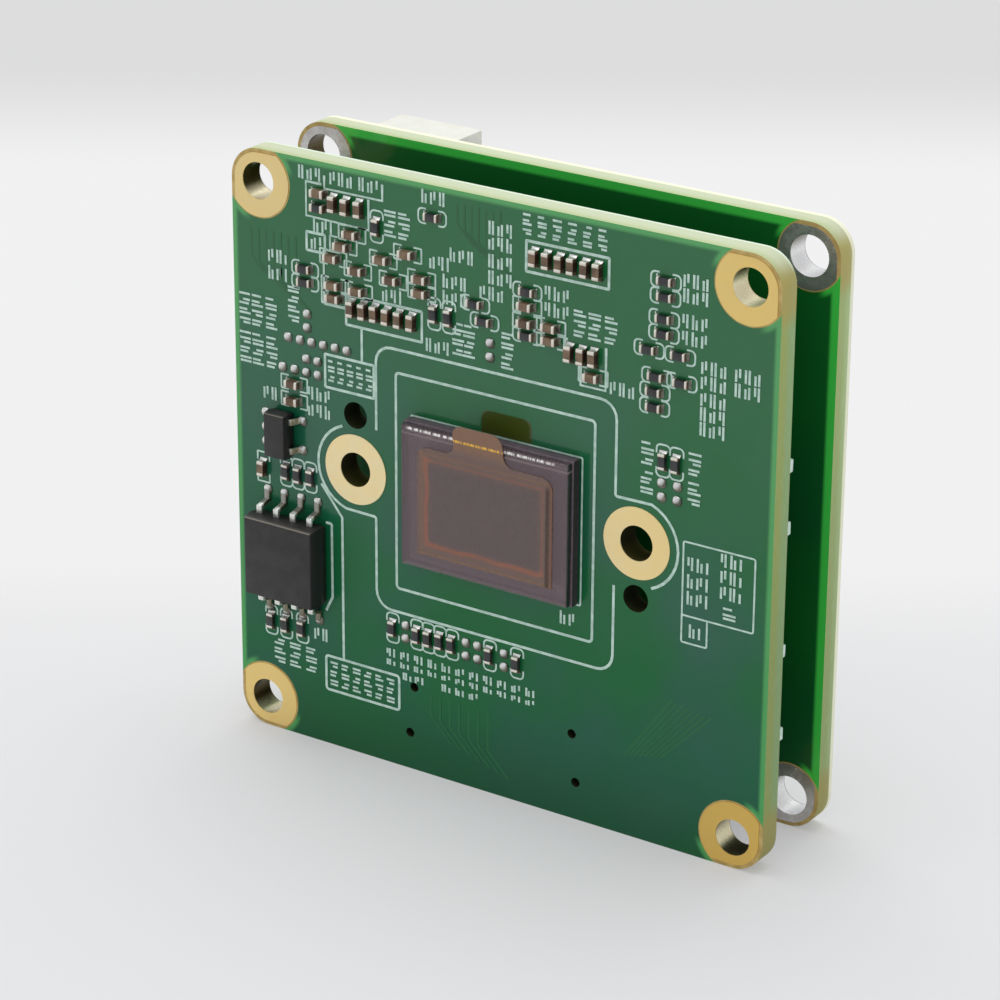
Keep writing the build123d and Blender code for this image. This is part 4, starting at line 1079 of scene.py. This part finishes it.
pale_sweep, point, _ = new_finish("pale_sweep", Roughness=0.9, Specular_IOR_Level=0.1,
                                  Emission_Strength=1.0)
x, y, z = point.axes()
away = y * 0.831 - x * 0.556
far, high = away.between(4, 34), away.between(118, 160)
paths = point.node("LightPath").socket.node.outputs
rays = Wire(paths["Is Camera Ray"]).sum("MAXIMUM", Wire(paths["Is Glossy Ray"])).sum(
    "MAXIMUM", Wire(paths["Is Transmission Ray"]))
# Seen directly, in reflections and through glass the sweep glows: evenly far off, and near the boards at
# 0.4 as painted light that lightens the shadow
glow = rays * far.between(0, 1, 0.4, 1)
floor_tone = (point.noise(0.004) * 0.1).over((235, 235, 236), (227, 227, 227))
backdrop = high.over(far.over((223, 223, 223), (240, 240, 241)), (219, 219, 220))
feed(pale_sweep, Base_Color=glow.over(floor_tone, (0, 0, 0)),
     Emission_Color=glow.over((0, 0, 0), backdrop))

profile = [(SWEEP_BACK, 0.0), (SWEEP_END, 0.0)]
for i in range(1, SWEEP_ARCS + 1):
    a = math.radians(90 * i / SWEEP_ARCS)
    profile.append((SWEEP_END + SWEEP_BEND * math.sin(a), SWEEP_BEND - SWEEP_BEND * math.cos(a)))
profile.append((SWEEP_END + SWEEP_BEND, SWEEP_TOP))
turned = Matrix.Rotation(math.radians(-33.8), 3, "Z")
points = [turned @ Vector((x, y, z - UNDER)) for y, z in profile for x in (-HALF_SWEEP, HALF_SWEEP)]
mesh = bpy.data.meshes.new("sweep")
mesh.from_pydata(points, [], [(i, i + 1, i + 3, i + 2) for i in range(0, len(points) - 2, 2)])
mesh.shade_smooth()
mesh.materials.append(pale_sweep)
shown("sweep", mesh)

world = bpy.data.worlds.new("studio")
bpy.context.scene.world = world
world.use_nodes = True
world.node_tree.nodes["Background"].inputs["Color"].default_value = (0.95, 0.97, 1.0, 1.0)
world.node_tree.nodes["Background"].inputs["Strength"].default_value = 0.62

light = bpy.data.lights.new("overhead", "AREA")
light.shape, light.size, light.size_y = "RECTANGLE", 0.6, 0.6
light.energy = 2.4
lamp = shown("overhead", light)
lamp.location = (-0.08, 0.12, 0.6)
lamp.rotation_euler = (Vector((0, 0, 0.02)) - lamp.location).to_track_quat("-Z", "Y").to_euler()

camera = bpy.data.cameras.new("camera")
camera.lens, camera.sensor_width = 133.742, 36.0
camera.clip_start, camera.clip_end = 0.01, 10.0
eye = shown("camera", camera)
right = Vector((0.83042788, 0.55709548, 0.00584517))
up = Vector((-0.21679371, 0.31346071, 0.92452305))
ahead = Vector((-0.51321538, 0.76901691, -0.38108131))
eye.matrix_world = Matrix.Translation((0.1129516, -0.173869, 0.102975)) @ Matrix(
    (right, up, -ahead)).transposed().to_4x4()
bpy.context.scene.camera = eye
bpy.context.scene.view_settings.view_transform = "Standard"
